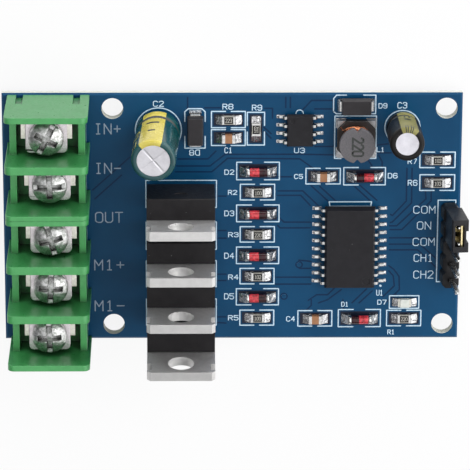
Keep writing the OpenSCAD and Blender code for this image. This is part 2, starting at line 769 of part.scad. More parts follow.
module pad_wedge(wide, reach, climb) {
  translate([0, wide / 2, 0]) rotate([90, 0, 0]) linear_extrude(wide)
    polygon([[-0.35, 0], [reach, 0], [reach, pad_t], [0.12, climb],
      [0.04, climb], [0.04, pad_t], [-0.35, pad_t]]);
}

module end_pads(places, end, wide, reach, climb) {
  at_each(places) for (s = [0, 180]) rotate([0, 0, s]) translate([end, 0, 0]) pad_wedge(wide, reach, climb);
}

module row_pads(count, outer, reach) {
  for (k = [0:count - 1]) for (a = [0, 180])
    translate([0, (k - (count - 1) / 2) * lead_pitch, 0]) rotate([0, 0, a]) translate([outer, 0, 0])
      translate([-1, -0.25, 0]) cube([1 + reach, 0.5, pad_t]);
}

module solder_pads() {
  color([0.8, 0.8, 0.8]) {
    end_pads(resistor_at, chip_l / 2, chip_w + 0.15, pad_reach, 0.45);
    end_pads(ceramic_at, chip_l / 2, chip_w + 0.15, pad_reach, 0.6);
    end_pads(led_at, chip_l / 2, chip_w, pad_reach - 0.1, 0.3);
    end_pads(glass_diode_at, diode_l / 2, diode_d, pad_reach, 0.9);
    end_pads([rectifier_1_at, rectifier_2_at], rectifier_l / 2 + 0.28, 1.8, 0.35, 0.5);
    on_board(chip_a_at) row_pads(10, 5.2, 0.35);
    on_board(chip_b_at) row_pads(4, 3.05, 0.4);
    on_board(core_at) for (a = [0:90:270]) rotate([0, 0, a]) translate([1.5, 1.5, 0]) cube([1.5, 1.5, pad_t]);
  }
}

module joint(p, wide, tip) {
  translate([p[0], p[1], -stub + 0.2]) cylinder(h = stub - 0.2, d1 = tip, d2 = wide, $fn = 16);
}

module solder_joints() {
  g = grip_clear;
  color([0.78, 0.78, 0.78]) difference() {
    union() {
      for (i = [0:4]) joint([pole_at(i)[0] + pin_x, pole_at(i)[1]], 3, 1.6);
      for (i = [0:3]) for (k = [-1:1]) joint([fet_x + k * fet_lead_pitch, fet_y(i)], 2.1, 1.2);
      for (s = [-1, 1]) joint([can_a[0] + s * 1.25, can_a[1]], 1.8, 0.9);
      for (s = [-1, 1]) joint([can_b[0] + s, can_b[1]], 1.6, 0.9);
      for (k = [-2:2]) joint([header_at[0] - 0.1, header_at[1] + k * pin_pitch], 1.9, 1.3);
    }
    for (i = [0:4]) translate([pole_at(i)[0] + pin_x, pole_at(i)[1], 0])
      cube([pin_size[0] + 2 * g, pin_size[1] + 2 * g, 9], center = true);
    for (i = [0:3]) for (k = [-1:1]) translate([fet_x + k * fet_lead_pitch, fet_y(i), 0])
      cube([fet_lead_w + 2 * g, fet_lead_t + 2 * g, 9], center = true);
    for (x = [can_a[0] - 1.25, can_a[0] + 1.25]) translate([x, can_a[1], -3])
      cylinder(h = 6, d = can_lead_d + 2 * g, $fn = 16);
    for (x = [can_b[0] - 1, can_b[0] + 1]) translate([x, can_b[1], -3])
      cylinder(h = 6, d = can_lead_d + 2 * g, $fn = 16);
    header_frame() for (k = [-2:2]) header_pin(k, g);
  }
}

// drawing

board();
terminal_housing_2p();
terminal_housing_3p();
terminal_screws();
clamp_plate_1();
clamp_plate_2();
clamp_plate_3();
clamp_plate_4();
clamp_plate_5();
contact_1();
contact_2();
contact_3();
contact_4();
contact_5();
fet1_body();
fet1_tab();
fet1_leads();
fet2_body();
fet2_tab();
fet2_leads();
fet3_body();
fet3_tab();
fet3_leads();
fet4_body();
fet4_tab();
fet4_leads();
cap_a_can();
cap_a_sleeve();
cap_a_bung();
cap_a_leads();
cap_b_can();
cap_b_sleeve();
cap_b_bung();
cap_b_leads();
inductor_core();
inductor_winding();
inductor_terminals();
driver_chip_body();
driver_chip_leads();
regulator_chip_body();
regulator_chip_leads();
rectifier_1_body();
rectifier_1_terminals();
rectifier_2_body();
rectifier_2_terminals();
glass_diode_bodies();
glass_diode_caps();
resistor_bodies();
resistor_caps();
ceramic_bodies();
ceramic_caps();
led_body();
led_terminals();
header_base();
header_pins();
jumper_cap();
jumper_contact();
solder_pads();
solder_joints();
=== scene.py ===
import math
import random

import bmesh
import bpy
from mathutils import Matrix, Vector


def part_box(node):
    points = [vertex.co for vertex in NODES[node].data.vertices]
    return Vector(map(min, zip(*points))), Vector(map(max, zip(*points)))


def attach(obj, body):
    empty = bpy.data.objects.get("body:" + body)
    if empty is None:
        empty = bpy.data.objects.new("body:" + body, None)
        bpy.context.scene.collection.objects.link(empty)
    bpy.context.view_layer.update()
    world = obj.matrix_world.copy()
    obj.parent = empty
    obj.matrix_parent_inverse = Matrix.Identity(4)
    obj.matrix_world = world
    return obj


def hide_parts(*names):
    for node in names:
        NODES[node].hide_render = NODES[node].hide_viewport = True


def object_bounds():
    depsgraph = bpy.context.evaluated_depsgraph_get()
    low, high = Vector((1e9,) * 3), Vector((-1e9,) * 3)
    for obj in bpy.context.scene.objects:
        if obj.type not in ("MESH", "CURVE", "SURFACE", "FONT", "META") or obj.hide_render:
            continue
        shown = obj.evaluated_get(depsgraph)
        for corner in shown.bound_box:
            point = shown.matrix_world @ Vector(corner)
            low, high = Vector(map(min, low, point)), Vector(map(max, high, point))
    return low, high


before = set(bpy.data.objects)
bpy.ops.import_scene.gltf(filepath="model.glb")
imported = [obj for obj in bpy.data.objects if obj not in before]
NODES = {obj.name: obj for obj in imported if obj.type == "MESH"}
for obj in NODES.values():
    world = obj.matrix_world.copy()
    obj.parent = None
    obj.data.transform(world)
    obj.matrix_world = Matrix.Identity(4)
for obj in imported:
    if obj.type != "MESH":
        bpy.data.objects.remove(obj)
cad_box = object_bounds()

MM = 0.001

# The layout below is drawn in millimetres from the centre of a board of this size.
DRAWN_X, DRAWN_Y = 70, 38.5

LO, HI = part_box("board")
TOP = HI.z / MM
MID_X = (LO.x + HI.x) / 2 / MM
STRETCH_X = (HI.x - LO.x) / MM / DRAWN_X
STRETCH_Y = (HI.y - LO.y) / MM / DRAWN_Y


def on_board(x, y):
    """A drawn point in the millimetres of the shared frame."""
    return MID_X + x * STRETCH_X, y * STRETCH_Y


# --- node graphs

# the colour sockets of a Mix node, which share their names with its other kinds
MIX_A, MIX_B, MIX_OUT = 6, 7, 2

# rays of the bevel and occlusion nodes
SHADER_SAMPLES = 4


class Nodes:
    """Short calls for building a node tree."""

    def __init__(self, tree):
        self.tree = tree

    def node(self, kind, **settings):
        made = self.tree.nodes.new(kind)
        for key, value in settings.items():
            setattr(made, key, value)
        return made

    def join(self, a, b):
        self.tree.links.new(a, b)

    def remap(self, value, low, high, to_low=0.0, to_high=1.0, kind="LINEAR"):
        m = self.node("ShaderNodeMapRange", interpolation_type=kind)
        for key, v in (("From Min", low), ("From Max", high), ("To Min", to_low), ("To Max", to_high)):
            m.inputs[key].default_value = v
        self.join(value, m.inputs["Value"])
        return m.outputs["Result"]

    def maths(self, kind, a, b=0.0):
        m = self.node("ShaderNodeMath", operation=kind)
        for socket, value in zip(m.inputs, (a, b)):
            if isinstance(value, (int, float)):
                socket.default_value = value
            else:
                self.join(value, socket)
        return m.outputs[0]

    def mix(self, fac, a, b):
        m = self.node("ShaderNodeMix", data_type="RGBA")
        self.join(fac, m.inputs["Factor"])
        for socket, value in ((m.inputs[MIX_A], a), (m.inputs[MIX_B], b)):
            if isinstance(value, tuple):
                socket.default_value = (*value, 1)
            else:
                self.join(value, socket)
        return m.outputs[MIX_OUT]


class Graph(Nodes):
    """A principled material and the few patterns that this scene uses."""

    def __init__(self, name, base, rough, metal=0.0, specular=0.5, **sockets):
        self.mat = bpy.data.materials.new(name)
        self.mat.use_nodes = True
        super().__init__(self.mat.node_tree)
        self.bsdf = self.tree.nodes["Principled BSDF"]
        self.bsdf.inputs["Base Color"].default_value = (*base, 1)
        self.bsdf.inputs["Roughness"].default_value = rough
        self.bsdf.inputs["Metallic"].default_value = metal
        self.bsdf.inputs["Specular IOR Level"].default_value = specular
        for key, value in sockets.items():
            self.bsdf.inputs[key.replace("_", " ")].default_value = value
        self.coords = self.node("ShaderNodeTexCoord").outputs["Object"]
        self.height = None

    def stretched(self, scale, turn):
        m = self.node("ShaderNodeMapping")
        m.inputs["Scale"].default_value = scale
        m.inputs["Rotation"].default_value = turn
        self.join(self.coords, m.inputs["Vector"])
        return m.outputs["Vector"]

    def noise(self, size_mm, detail=3.0, stretch=None, turn=(0, 0, 0), rough=0.55):
        n = self.node("ShaderNodeTexNoise")
        n.inputs["Scale"].default_value = 1 / (size_mm * MM)
        n.inputs["Detail"].default_value = detail
        n.inputs["Roughness"].default_value = rough
        self.join(self.stretched(stretch, turn) if stretch else self.coords, n.inputs["Vector"])
        return n.outputs["Fac"]

    def colour(self, output):
        self.join(output, self.bsdf.inputs["Base Color"])

    def roughness(self, output):
        self.join(output, self.bsdf.inputs["Roughness"])

    def bump(self, height, depth_mm, strength=1.0):
        """Adds relief on top of the relief that the material has already."""
        b = self.node("ShaderNodeBump")
        b.inputs["Distance"].default_value = depth_mm * MM
        b.inputs["Strength"].default_value = strength
        self.join(height, b.inputs["Height"])
        if self.height is not None:
            self.join(self.height, b.inputs["Normal"])
        self.height = b.outputs["Normal"]
        self.join(self.height, self.bsdf.inputs["Normal"])

    def edges(self, radius_mm):
        """1 along convex and concave edges, 0 on flats."""
        bevel = self.node("ShaderNodeBevel", samples=SHADER_SAMPLES)
        bevel.inputs["Radius"].default_value = radius_mm * MM
        geo = self.node("ShaderNodeNewGeometry")
        dot = self.node("ShaderNodeVectorMath", operation="DOT_PRODUCT")
        self.join(bevel.outputs["Normal"], dot.inputs[0])
        self.join(geo.outputs["Normal"], dot.inputs[1])
        return self.remap(self.maths("SUBTRACT", 1.0, dot.outputs["Value"]), 0.002, 0.05)

    def hollows(self, reach_mm, low=0.45, high=0.85):
        """1 in grooves and corners, 0 on open faces."""
        shade = self.node("ShaderNodeAmbientOcclusion", samples=SHADER_SAMPLES)
        shade.inputs["Distance"].default_value = reach_mm * MM
        return self.remap(shade.outputs["AO"], high, low)

    def facing_up(self, low, high):
        """1 on level faces, up or down, and 0 on upright ones."""
        geo = self.node("ShaderNodeNewGeometry")
        parts = self.node("ShaderNodeSeparateXYZ")
        self.join(geo.outputs["True Normal"], parts.inputs[0])
        return self.remap(self.maths("ABSOLUTE", parts.outputs["Z"]), low, high)


def plastic(name, base, light, rough, grain, patch_mm=2.5, edge_wear_and_highlight=None, dust=0.0, painted_shade=0.0, painted_shade_mm=0.5,
            painted_lit_top=None, **sockets):
    """Moulded plastic: slow colour drift and fine grain of a size and depth, and where asked for a
    painted lighter top (painted light on level faces), edges painted lighter (rubbed wear and a painted
    highlight), a few specks of dust, and painted shade in the hollows."""
    g = Graph(name, base, rough, **sockets)
    drift = g.remap(g.noise(patch_mm, 4), 0.3, 0.7)
    tone = g.mix(drift, base, light)
    if painted_lit_top:
        # level faces painted lighter, broken up by noise: painted light on the tops
        worn = g.maths("MULTIPLY", g.facing_up(0.7, 0.97), g.remap(g.noise(1.1, 4), 0.2, 0.6, 0.55, 1.0))
        tone = g.mix(worn, tone, painted_lit_top)
    if edge_wear_and_highlight:
        # edges painted lighter: partly rubbed wear, partly a painted highlight
        lighter_edges = g.maths("MULTIPLY", g.edges(0.09), g.remap(g.noise(0.6), 0.35, 0.7))
        tone = g.mix(lighter_edges, tone, edge_wear_and_highlight)
    if dust:
        where = g.remap(g.noise(1.4, 2), 0.5, 0.62)
        speck = g.maths("MULTIPLY", g.remap(g.noise(0.22, 1), 0.77, 0.8), where)
        tone = g.mix(g.maths("MULTIPLY", speck, dust), tone, (0.6, 0.6, 0.6))
    if painted_shade:
        # hollows painted dark by an occlusion mask: painted shade
        tone = g.mix(g.maths("MULTIPLY", g.hollows(painted_shade_mm), painted_shade), tone, (0.004, 0.005, 0.005))
    g.colour(tone)
    g.roughness(g.remap(g.noise(0.5, 5), 0.25, 0.75, rough - 0.07, rough + 0.09))
    g.bump(g.noise(grain[0], 3), grain[1])
    return g.mat


def metal(name, base, dull, rough, streak=None, wear_mm=0.5, depth=0.004, spread=0.1, painted_shade=0.0,
          top=None, turn=(0, 0, 0)):
    """Plated metal: patches of duller plating, streaks from rolling or brushing, small dents, and
    where asked for another tone on level faces and painted shade in the hollows."""
    g = Graph(name, base, rough, 1.0)
    patches = g.remap(g.noise(wear_mm, 6, rough=0.65), 0.35, 0.72)
    tone = g.mix(patches, base, dull)
    if top:
        tone = g.mix(g.facing_up(0.4, 0.8), tone, g.mix(patches, top, tuple(0.9 * v for v in top)))
    if painted_shade:
        # hollows painted dark by an occlusion mask: painted shade
        tone = g.mix(g.maths("MULTIPLY", g.hollows(0.45), painted_shade), tone, (0.05, 0.05, 0.048))
    g.colour(tone)
    fine = g.noise(0.22, 4, streak, turn)
    worn = g.remap(patches, 0, 1, rough - 0.05, rough + 0.06)
    g.roughness(g.maths("ADD", g.remap(fine, 0.3, 0.7, 0, spread), worn))
    g.bump(fine, depth)
    g.bump(g.noise(wear_mm * 0.8, 2), depth * 2, 0.5)
    return g.mat


def screw_material(name):
    """Tumbled and plated screw heads: dented bright patches, painted shade in the slots, and dark lines
    along the rims and slot edges.
    """
    g = Graph(name, (0.7, 0.7, 0.68), 0.2, 1.0)
    patches = g.remap(g.noise(0.5, 4, rough=0.7), 0.44, 0.62)
    tone = g.mix(patches, (0.66, 0.66, 0.65), (0.32, 0.33, 0.31))
    lines = g.maths("MULTIPLY", g.edges(0.12), g.remap(g.noise(0.8), 0.25, 0.45))
    # painted shade in the slots, joined with dark lines along the rims and slot edges
    painted_shade = g.maths("MAXIMUM", g.hollows(0.8, 0.4, 0.8), lines)
    g.colour(g.mix(painted_shade, tone, (0.03, 0.032, 0.028)))
    g.roughness(g.remap(g.noise(0.25, 4), 0.3, 0.7, 0.24, 0.46))
    g.bump(g.noise(0.75, 2), 0.09)
    g.bump(g.noise(0.17, 3), 0.012, 0.7)
    return g.mat


def mask_material(name, base, light):
    """Blue solder mask over copper on the faces, raw glass laminate on the cut sides."""
    g = Graph(name, base, 0.34, specular=0.13)
    drift = g.remap(g.noise(9, 3), 0.3, 0.7)
    face = g.mix(drift, base, light)
    speck = g.remap(g.noise(0.16, 2), 0.66, 0.78)
    face = g.mix(g.maths("MULTIPLY", speck, 0.25), face, (0.06, 0.16, 0.3))
    fibre = g.remap(g.noise(0.25, 4, (0.25, 0.25, 3.0)), 0.3, 0.7)
    side = g.mix(fibre, (0.56, 0.57, 0.5), (0.8, 0.81, 0.76))
    up = g.facing_up(0.5, 0.66)
    g.colour(g.mix(up, side, face))
    g.roughness(g.remap(up, 0, 1, 0.75, 0.3))
    g.bump(g.noise(0.35, 3), 0.006, 0.6)
    g.bump(g.noise(4.5, 2), 0.02, 0.25)
    return g.mat


# between these heights above the board the inductor's core turns from its darker base flange, which is
# painted shade, to ground ferrite
FLANGE_LOW, FLANGE_HIGH = 2.2, 2.6


def ferrite_material(name):
    """Ground ferrite: mottled grey on the top flange, and a darker base flange, which is painted shade."""
    g = Graph(name, (0.1, 0.1, 0.1), 0.5)
    fine = g.remap(g.noise(0.16, 5), 0.3, 0.7)
    top = g.mix(fine, (0.085, 0.08, 0.088), (0.155, 0.147, 0.155))
    # the dark colour of the base flange is painted shade
    low = g.mix(fine, (0.012, 0.011, 0.011), (0.03, 0.026, 0.025))
    parts = g.node("ShaderNodeSeparateXYZ")
    g.join(g.coords, parts.inputs[0])
    level = g.remap(parts.outputs["Z"], (TOP + FLANGE_LOW) * MM, (TOP + FLANGE_HIGH) * MM)
    lighter_edges = g.maths("MULTIPLY", g.edges(0.07), g.remap(g.noise(0.4), 0.4, 0.6))
    g.colour(g.mix(lighter_edges, g.mix(level, low, top), (0.27, 0.26, 0.27)))
    g.roughness(g.remap(fine, 0, 1, 0.42, 0.62))
    g.bump(g.noise(0.12, 3), 0.02)
    return g.mat


def print_material(name, base, faded):
    """Screen-printed ink with thin, slightly worn patches."""
    g = Graph(name, base, 0.6)
    g.colour(g.mix(g.remap(g.noise(0.3, 4), 0.45, 0.8), base, faded))
    g.roughness(g.remap(g.noise(0.2, 2), 0.3, 0.7, 0.5, 0.68))
    g.bump(g.noise(0.1, 2), 0.004)
    return g.mat


SEMI_GLOSS = dict(Coat_Weight=0.3, Coat_Roughness=0.1)

# Colours are linear; the first is the fresh surface, the second the drifted or duller one.
MATS = {
    "board": mask_material("solder_mask", (0.0036, 0.052, 0.127), (0.0056, 0.067, 0.158)),
    "gap": plastic("mask_over_laminate", (0.003, 0.024, 0.07), (0.004, 0.03, 0.085), rough=0.34,
                   grain=(0.3, 0.004), specular=0.13),
    "pad_gap": plastic("mask_round_pads", (0.006, 0.01, 0.026), (0.01, 0.016, 0.036), rough=0.36,
                       grain=(0.3, 0.004), specular=0.25),
    "ink": print_material("silkscreen_ink", (0.62, 0.8, 0.92), (0.42, 0.6, 0.74)),
    # a darker copy of the ink for the labels beside the terminals: painted shade
    "ink_painted_shade": print_material("silkscreen_ink_painted_shade", (0.35, 0.43, 0.54), (0.24, 0.31, 0.42)),
    "code": print_material("part_code", (0.5, 0.49, 0.44), (0.34, 0.33, 0.3)),
    # the green's paler tops and lighter edges are painted light, and its darkened hollows are painted shade
    "green": plastic("green_moulding", (0.036, 0.24, 0.064), (0.044, 0.27, 0.078), rough=0.32,
                     grain=(0.25, 0.002), edge_wear_and_highlight=(0.16, 0.52, 0.21), painted_lit_top=(0.075, 0.36, 0.11), painted_shade=0.75,
                     painted_shade_mm=1.2),
    "nickel": screw_material("nickel_plate"),
    "plate": metal("clamp_plate", (0.72, 0.675, 0.69), (0.55, 0.51, 0.525), rough=0.24, streak=(6, 1, 1),
                   wear_mm=0.9, depth=0.012, spread=0.14),
    "contact": metal("contact_metal", (0.8, 0.785, 0.71), (0.6, 0.58, 0.5), rough=0.3, streak=(1, 6, 1)),
    "epoxy": plastic("transistor_epoxy", (0.009, 0.008, 0.009), (0.014, 0.013, 0.014), rough=0.42,
                     grain=(0.09, 0.01), patch_mm=1.5, edge_wear_and_highlight=(0.04, 0.038, 0.038), dust=0.35, specular=0.18),
    "chip": plastic("chip_epoxy", (0.0115, 0.011, 0.0135), (0.0155, 0.015, 0.018), rough=0.5,
                    grain=(0.07, 0.01), patch_mm=1.2, edge_wear_and_highlight=(0.04, 0.039, 0.042), dust=0.2, specular=0.22),
    "rectifier": plastic("rectifier_epoxy", (0.018, 0.016, 0.018), (0.026, 0.023, 0.026), rough=0.4,
                         grain=(0.08, 0.01), patch_mm=1.0, edge_wear_and_highlight=(0.09, 0.084, 0.09), specular=0.3),
    "tab": metal("transistor_tab", (0.82, 0.81, 0.81), (0.7, 0.69, 0.69), rough=0.4, streak=(1, 9, 9),
                 wear_mm=1.6, depth=0.013, spread=0.18, painted_shade=0.6, top=(0.66, 0.655, 0.64)),
    "tin": metal("tinned_lead", (0.78, 0.78, 0.76), (0.45, 0.45, 0.44), rough=0.18, streak=(4, 1, 1),
                 wear_mm=0.25, depth=0.008, spread=0.12, painted_shade=0.7),
    "tin_dull": metal("tinned_plate", (0.42, 0.42, 0.43), (0.22, 0.22, 0.22), rough=0.3, streak=(4, 1, 1),
                      wear_mm=0.6, depth=0.01, spread=0.12, painted_shade=0.8),
    "solder": metal("solder", (0.72, 0.72, 0.73), (0.2, 0.2, 0.2), rough=0.1, wear_mm=0.4, depth=0.06,
                    spread=0.06, painted_shade=0.8),
    "can": metal("can_aluminium", (0.84, 0.83, 0.86), (0.72, 0.71, 0.74), rough=0.36, streak=(5, 1, 1),
                 wear_mm=1.2, depth=0.004, spread=0.12, turn=(0, 0, 0.4)),
    # a darker copy of the can aluminium for the small can: painted shade
    "can_painted_shade": metal("can_aluminium_painted_shade", (0.7, 0.69, 0.73), (0.58, 0.57, 0.61), rough=0.36,
                     streak=(5, 1, 1), wear_mm=1.2, depth=0.004, spread=0.12, turn=(0, 0, 0.4)),
    "sleeve_a": plastic("sleeve_teal", (0.004, 0.05, 0.055), (0.006, 0.075, 0.078), rough=0.2,
                        grain=(0.5, 0.004), painted_shade=0.9, **SEMI_GLOSS),
    "stripe_a": plastic("stripe_yellow", (0.56, 0.46, 0.05), (0.7, 0.6, 0.13), rough=0.24,
                        grain=(0.5, 0.004), painted_shade=0.9, **SEMI_GLOSS),
    "sleeve_b": plastic("sleeve_dark", (0.006, 0.005, 0.005), (0.011, 0.009, 0.008), rough=0.32,
                        grain=(0.5, 0.002), painted_shade=0.9, specular=0.2),
    "stripe_b": plastic("stripe_olive", (0.2, 0.185, 0.055), (0.29, 0.27, 0.1), rough=0.34,
                        grain=(0.5, 0.002), painted_shade=0.9, specular=0.25),
    "mark": plastic("sleeve_mark", (0.015, 0.02, 0.02), (0.03, 0.035, 0.03), rough=0.3, grain=(0.4, 0.004)),
    "rubber": plastic("bung_rubber", (0.012, 0.012, 0.012), (0.02, 0.02, 0.02), rough=0.7,
                      grain=(0.2, 0.02)),
    "ferrite": ferrite_material("ferrite"),
    "copper": metal("enamelled_wire", (0.9, 0.36, 0.18), (0.6, 0.2, 0.09), rough=0.16, streak=(1, 1, 1),
                    wear_mm=0.4, depth=0.003),
    # the paler patches of the red glass and of the dark glass are painted glints
    "glass_red": plastic("glass_red", (0.2, 0.004, 0.008), (0.86, 0.06, 0.08), rough=0.08,
                         grain=(0.3, 0.01), patch_mm=0.42, Coat_Weight=0.5, Coat_Roughness=0.05),
    "glass_dark": plastic("glass_dark", (0.006, 0.002, 0.003), (0.05, 0.008, 0.012), rough=0.08,
                          grain=(0.3, 0.01), patch_mm=0.45),
    "film": plastic("resistor_glaze", (0.006, 0.006, 0.007), (0.011, 0.01, 0.011), rough=0.26,
                    grain=(0.1, 0.006), specular=0.35),
    "ceramic": plastic("ceramic", (0.31, 0.135, 0.055), (0.4, 0.19, 0.085), rough=0.4, grain=(0.12, 0.01)),
    "alumina": plastic("alumina", (0.33, 0.32, 0.28), (0.43, 0.42, 0.37), rough=0.5, grain=(0.12, 0.01),
                       painted_shade=0.7),
    "led": plastic("led_resin", (0.66, 0.7, 0.64), (0.78, 0.8, 0.75), rough=0.16, grain=(0.4, 0.006),
                   patch_mm=0.5),
    "header": plastic("header_moulding", (0.005, 0.005, 0.006), (0.009, 0.009, 0.01), rough=0.4,
                      grain=(0.12, 0.012), patch_mm=1.5, edge_wear_and_highlight=(0.022, 0.022, 0.024), specular=0.18),
    "jumper": plastic("jumper_moulding", (0.008, 0.008, 0.01), (0.015, 0.015, 0.017), rough=0.36,
                      grain=(0.12, 0.01), patch_mm=1.5, edge_wear_and_highlight=(0.045, 0.045, 0.047), specular=0.25),
    "gilt": metal("gilt_strip", (0.86, 0.74, 0.42), (0.66, 0.55, 0.3), rough=0.3, streak=(1, 1, 6),
                  wear_mm=0.5, depth=0.004),
}

# --- mesh building

TINY = 1e-6
TAU = 2 * math.pi

# printed strokes step up by this much, so that no two faces share a plane
STROKE_STEP, STROKE_STEPS = 0.0006, 7


class Build:
    """Gathers vertices in millimetres and faces with a material index each."""

    def __init__(self):
        self.verts, self.faces, self.mats = [], [], []

    def add(self, verts, faces, mat, frame_of):
        start = len(self.verts)
        for v in verts:
            v = Vector(v)
            self.verts.append(frame_of @ v if frame_of else v)
        for f in faces:
            self.faces.append([start + i for i in f])
            self.mats.append(mat)

    def prism(self, outline, z0, z1, mat=0, frame_of=None):
        """A flat outline, drawn anticlockwise, raised from z0 to z1."""
        n = len(outline)
        verts = [(x, y, z0) for x, y in outline] + [(x, y, z1) for x, y in outline]
        faces = [list(range(n))[::-1], list(range(n, 2 * n))]
        faces += [[i, (i + 1) % n, n + (i + 1) % n, n + i] for i in range(n)]
        self.add(verts, faces, mat, frame_of)

    def revolve(self, profile, steps, mat=0, frame_of=None, closed=False, mat_of=None):
        """Turns a profile of (radius, z) points, from axis to axis or round a closed ring.

        mat_of gives the material of a face from its place along the profile and round the turn.
        """
        start = len(self.verts)
        rings = []
        for r, z in profile:
            if r < TINY:
                rings.append([len(self.verts)])
                self.verts.append(Vector((0, 0, z)))
            else:
                rings.append(list(range(len(self.verts), len(self.verts) + steps)))
                for i in range(steps):
                    a = TAU * i / steps
                    self.verts.append(Vector((r * math.cos(a), r * math.sin(a), z)))
        pairs = list(zip(rings, rings[1:]))
        if closed:
            pairs.append((rings[-1], rings[0]))
        for k, (a, b) in enumerate(pairs):
            for i in range(steps):
                j = (i + 1) % steps
                f = [a[i % len(a)], a[j % len(a)], b[j % len(b)], b[i % len(b)]]
                f = [v for n, v in enumerate(f) if v not in f[:n]]
                if len(f) > 2:
                    self.faces.append(f)
                    self.mats.append(mat_of(k, i) if mat_of else mat)
        if frame_of:
            for i in range(start, len(self.verts)):
                self.verts[i] = frame_of @ self.verts[i]

    def tube(self, path, radius, sides=8):
        """A round bar along a path, closed at both ends."""
        path = [Vector(p) for p in path]
        rings, up = [], None
        for i, p in enumerate(path):
            t = (path[min(i + 1, len(path) - 1)] - path[max(i - 1, 0)]).normalized()
            if up is None:
                up = t.orthogonal().normalized()
            up = (up - t * up.dot(t)).normalized()
            side = t.cross(up)
            rings.append(len(self.verts))
            for k in range(sides):
                a = TAU * k / sides
                self.verts.append(p + radius * (math.cos(a) * up + math.sin(a) * side))
        for a, b in zip(rings, rings[1:]):
            for k in range(sides):
                j = (k + 1) % sides
                self.faces.append([a + k, a + j, b + j, b + k])
                self.mats.append(0)
        self.faces.append([rings[0] + k for k in range(sides)][::-1])
        self.faces.append([rings[-1] + k for k in range(sides)])
        self.mats += [0, 0]

    def stroke(self, points, width, z, thick, frame_of=None, mat=0):
        """A line of printed ink: one bar with round ends per segment, each of its own height."""
        r, ends = width / 2, 5
        for a, b in zip(points, points[1:]):
            a, b = Vector(a), Vector(b)
            d = b - a
            turn = math.atan2(d.y, d.x)
            outline = []
            for centre, base in ((b, turn - math.pi / 2), (a, turn + math.pi / 2)):
                for k in range(ends):
                    t = base + math.pi * k / (ends - 1)
                    outline.append((centre.x + r * math.cos(t), centre.y + r * math.sin(t)))
            step = STROKE_STEP * (len(self.faces) % STROKE_STEPS)
            self.prism(outline, z, z + thick + step, mat, frame_of)

    def make(self, name, mats, slot=None, angle=35, replaces=()):
        """The finished piece, smooth but for edges sharper than the angle."""
        mesh = bpy.data.meshes.new(name)
        mesh.from_pydata([v * MM for v in self.verts], [], self.faces)
        for m in mats:
            mesh.materials.append(MATS[m])
        mesh.polygons.foreach_set("material_index", self.mats)
        bm = bmesh.new()
        bm.from_mesh(mesh)
        bmesh.ops.recalc_face_normals(bm, faces=bm.faces)
        bm.to_mesh(mesh)
        bm.free()
        mesh.shade_smooth()
        mesh.set_sharp_from_angle(angle=math.radians(angle))
        made = bpy.data.objects.new(name, mesh)
        bpy.context.scene.collection.objects.link(made)
        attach(made, "root")
        if replaces:
            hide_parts(*replaces)
        return made


def loose_parts(node):
    """Lower and upper corner in mm of each separate solid in a CAD node."""
    bm = bmesh.new()
    bm.from_mesh(NODES[node].data)
    bmesh.ops.remove_doubles(bm, verts=bm.verts, dist=TINY)
    seen, out = set(), []
    for v in bm.verts:
        if v in seen:
            continue
        stack, part = [v], []
        seen.add(v)
        while stack:
            w = stack.pop()
            part.append(w.co / MM)
            for e in w.link_edges:
                o = e.other_vert(w)
                if o not in seen:
                    seen.add(o)
                    stack.append(o)
        lo = Vector(min(p[i] for p in part) for i in range(3))
        hi = Vector(max(p[i] for p in part) for i in range(3))
        out.append((lo, hi))
    bm.free()
    return out


# degrees: faces within the first count as one flat face, and edges past the second are rounded
FLAT_ANGLE, EDGE_ANGLE = 0.5, 32


def dress(mat, names, soften):
    """Gives CAD nodes a material, and rounds their sharp edges with modifiers."""
    for name in names:
        ob = NODES[name]
        for s in ob.material_slots:
            s.material = MATS[mat]
        if soften:
            weld = ob.modifiers.new("weld", "WELD")
            weld.merge_threshold = TINY
            flat = ob.modifiers.new("flat", "DECIMATE")
            flat.decimate_type = "DISSOLVE"
            flat.angle_limit = math.radians(FLAT_ANGLE)
            round_off = ob.modifiers.new("round", "BEVEL")
            round_off.width = soften * MM
            round_off.segments = 3 if mat == "green" else 2
            round_off.limit_method = "ANGLE"
            round_off.angle_limit = math.radians(EDGE_ANGLE)
            round_off.harden_normals = True
            round_off.miter_outer = "MITER_ARC"


# material, radius of the rounded edges in mm, and the nodes
DRESSING = [
    ("board", 0, "board"),
    ("green", 0.16, "terminal_housing_2p terminal_housing_3p"),
    ("nickel", 0.05, "terminal_screws"),
    ("plate", 0.1, "clamp_plate_1 clamp_plate_2 clamp_plate_3 clamp_plate_4 clamp_plate_5"),
    ("contact", 0.05, "contact_1 contact_2 contact_3 contact_4 contact_5"),
    ("epoxy", 0.12, "fet1_body fet2_body fet3_body fet4_body"),
    ("tab", 0.07, "fet1_tab fet2_tab fet3_tab fet4_tab"),
    ("tin", 0.05, "fet1_leads fet2_leads fet3_leads fet4_leads"),
    ("tin", 0, "cap_a_leads cap_b_leads"),
    ("rubber", 0, "cap_a_bung cap_b_bung"),
    ("ferrite", 0.08, "inductor_core"),
    ("tin_dull", 0.04, "inductor_terminals"),
    ("chip", 0.05, "driver_chip_body regulator_chip_body"),
    ("tin", 0.03, "driver_chip_leads regulator_chip_leads"),
    ("rectifier", 0.06, "rectifier_1_body rectifier_2_body"),
    ("tin", 0.03, "rectifier_1_terminals rectifier_2_terminals"),
    ("tin", 0.06, "glass_diode_caps"),
    ("alumina", 0, "resistor_bodies"),
    ("tin", 0.05, "resistor_caps ceramic_caps"),
    ("ceramic", 0, "ceramic_bodies"),
    ("led", 0.05, "led_body"),
    ("contact", 0, "led_terminals"),
    ("header", 0.08, "header_base"),
    ("tin", 0.04, "header_pins"),
    ("jumper", 0.12, "jumper_cap"),
    ("gilt", 0, "jumper_contact"),
    ("solder", 0, "solder_pads"),
]
for mat, soften, names in DRESSING:
    dress(mat, names.split(), soften)

# --- printed legend

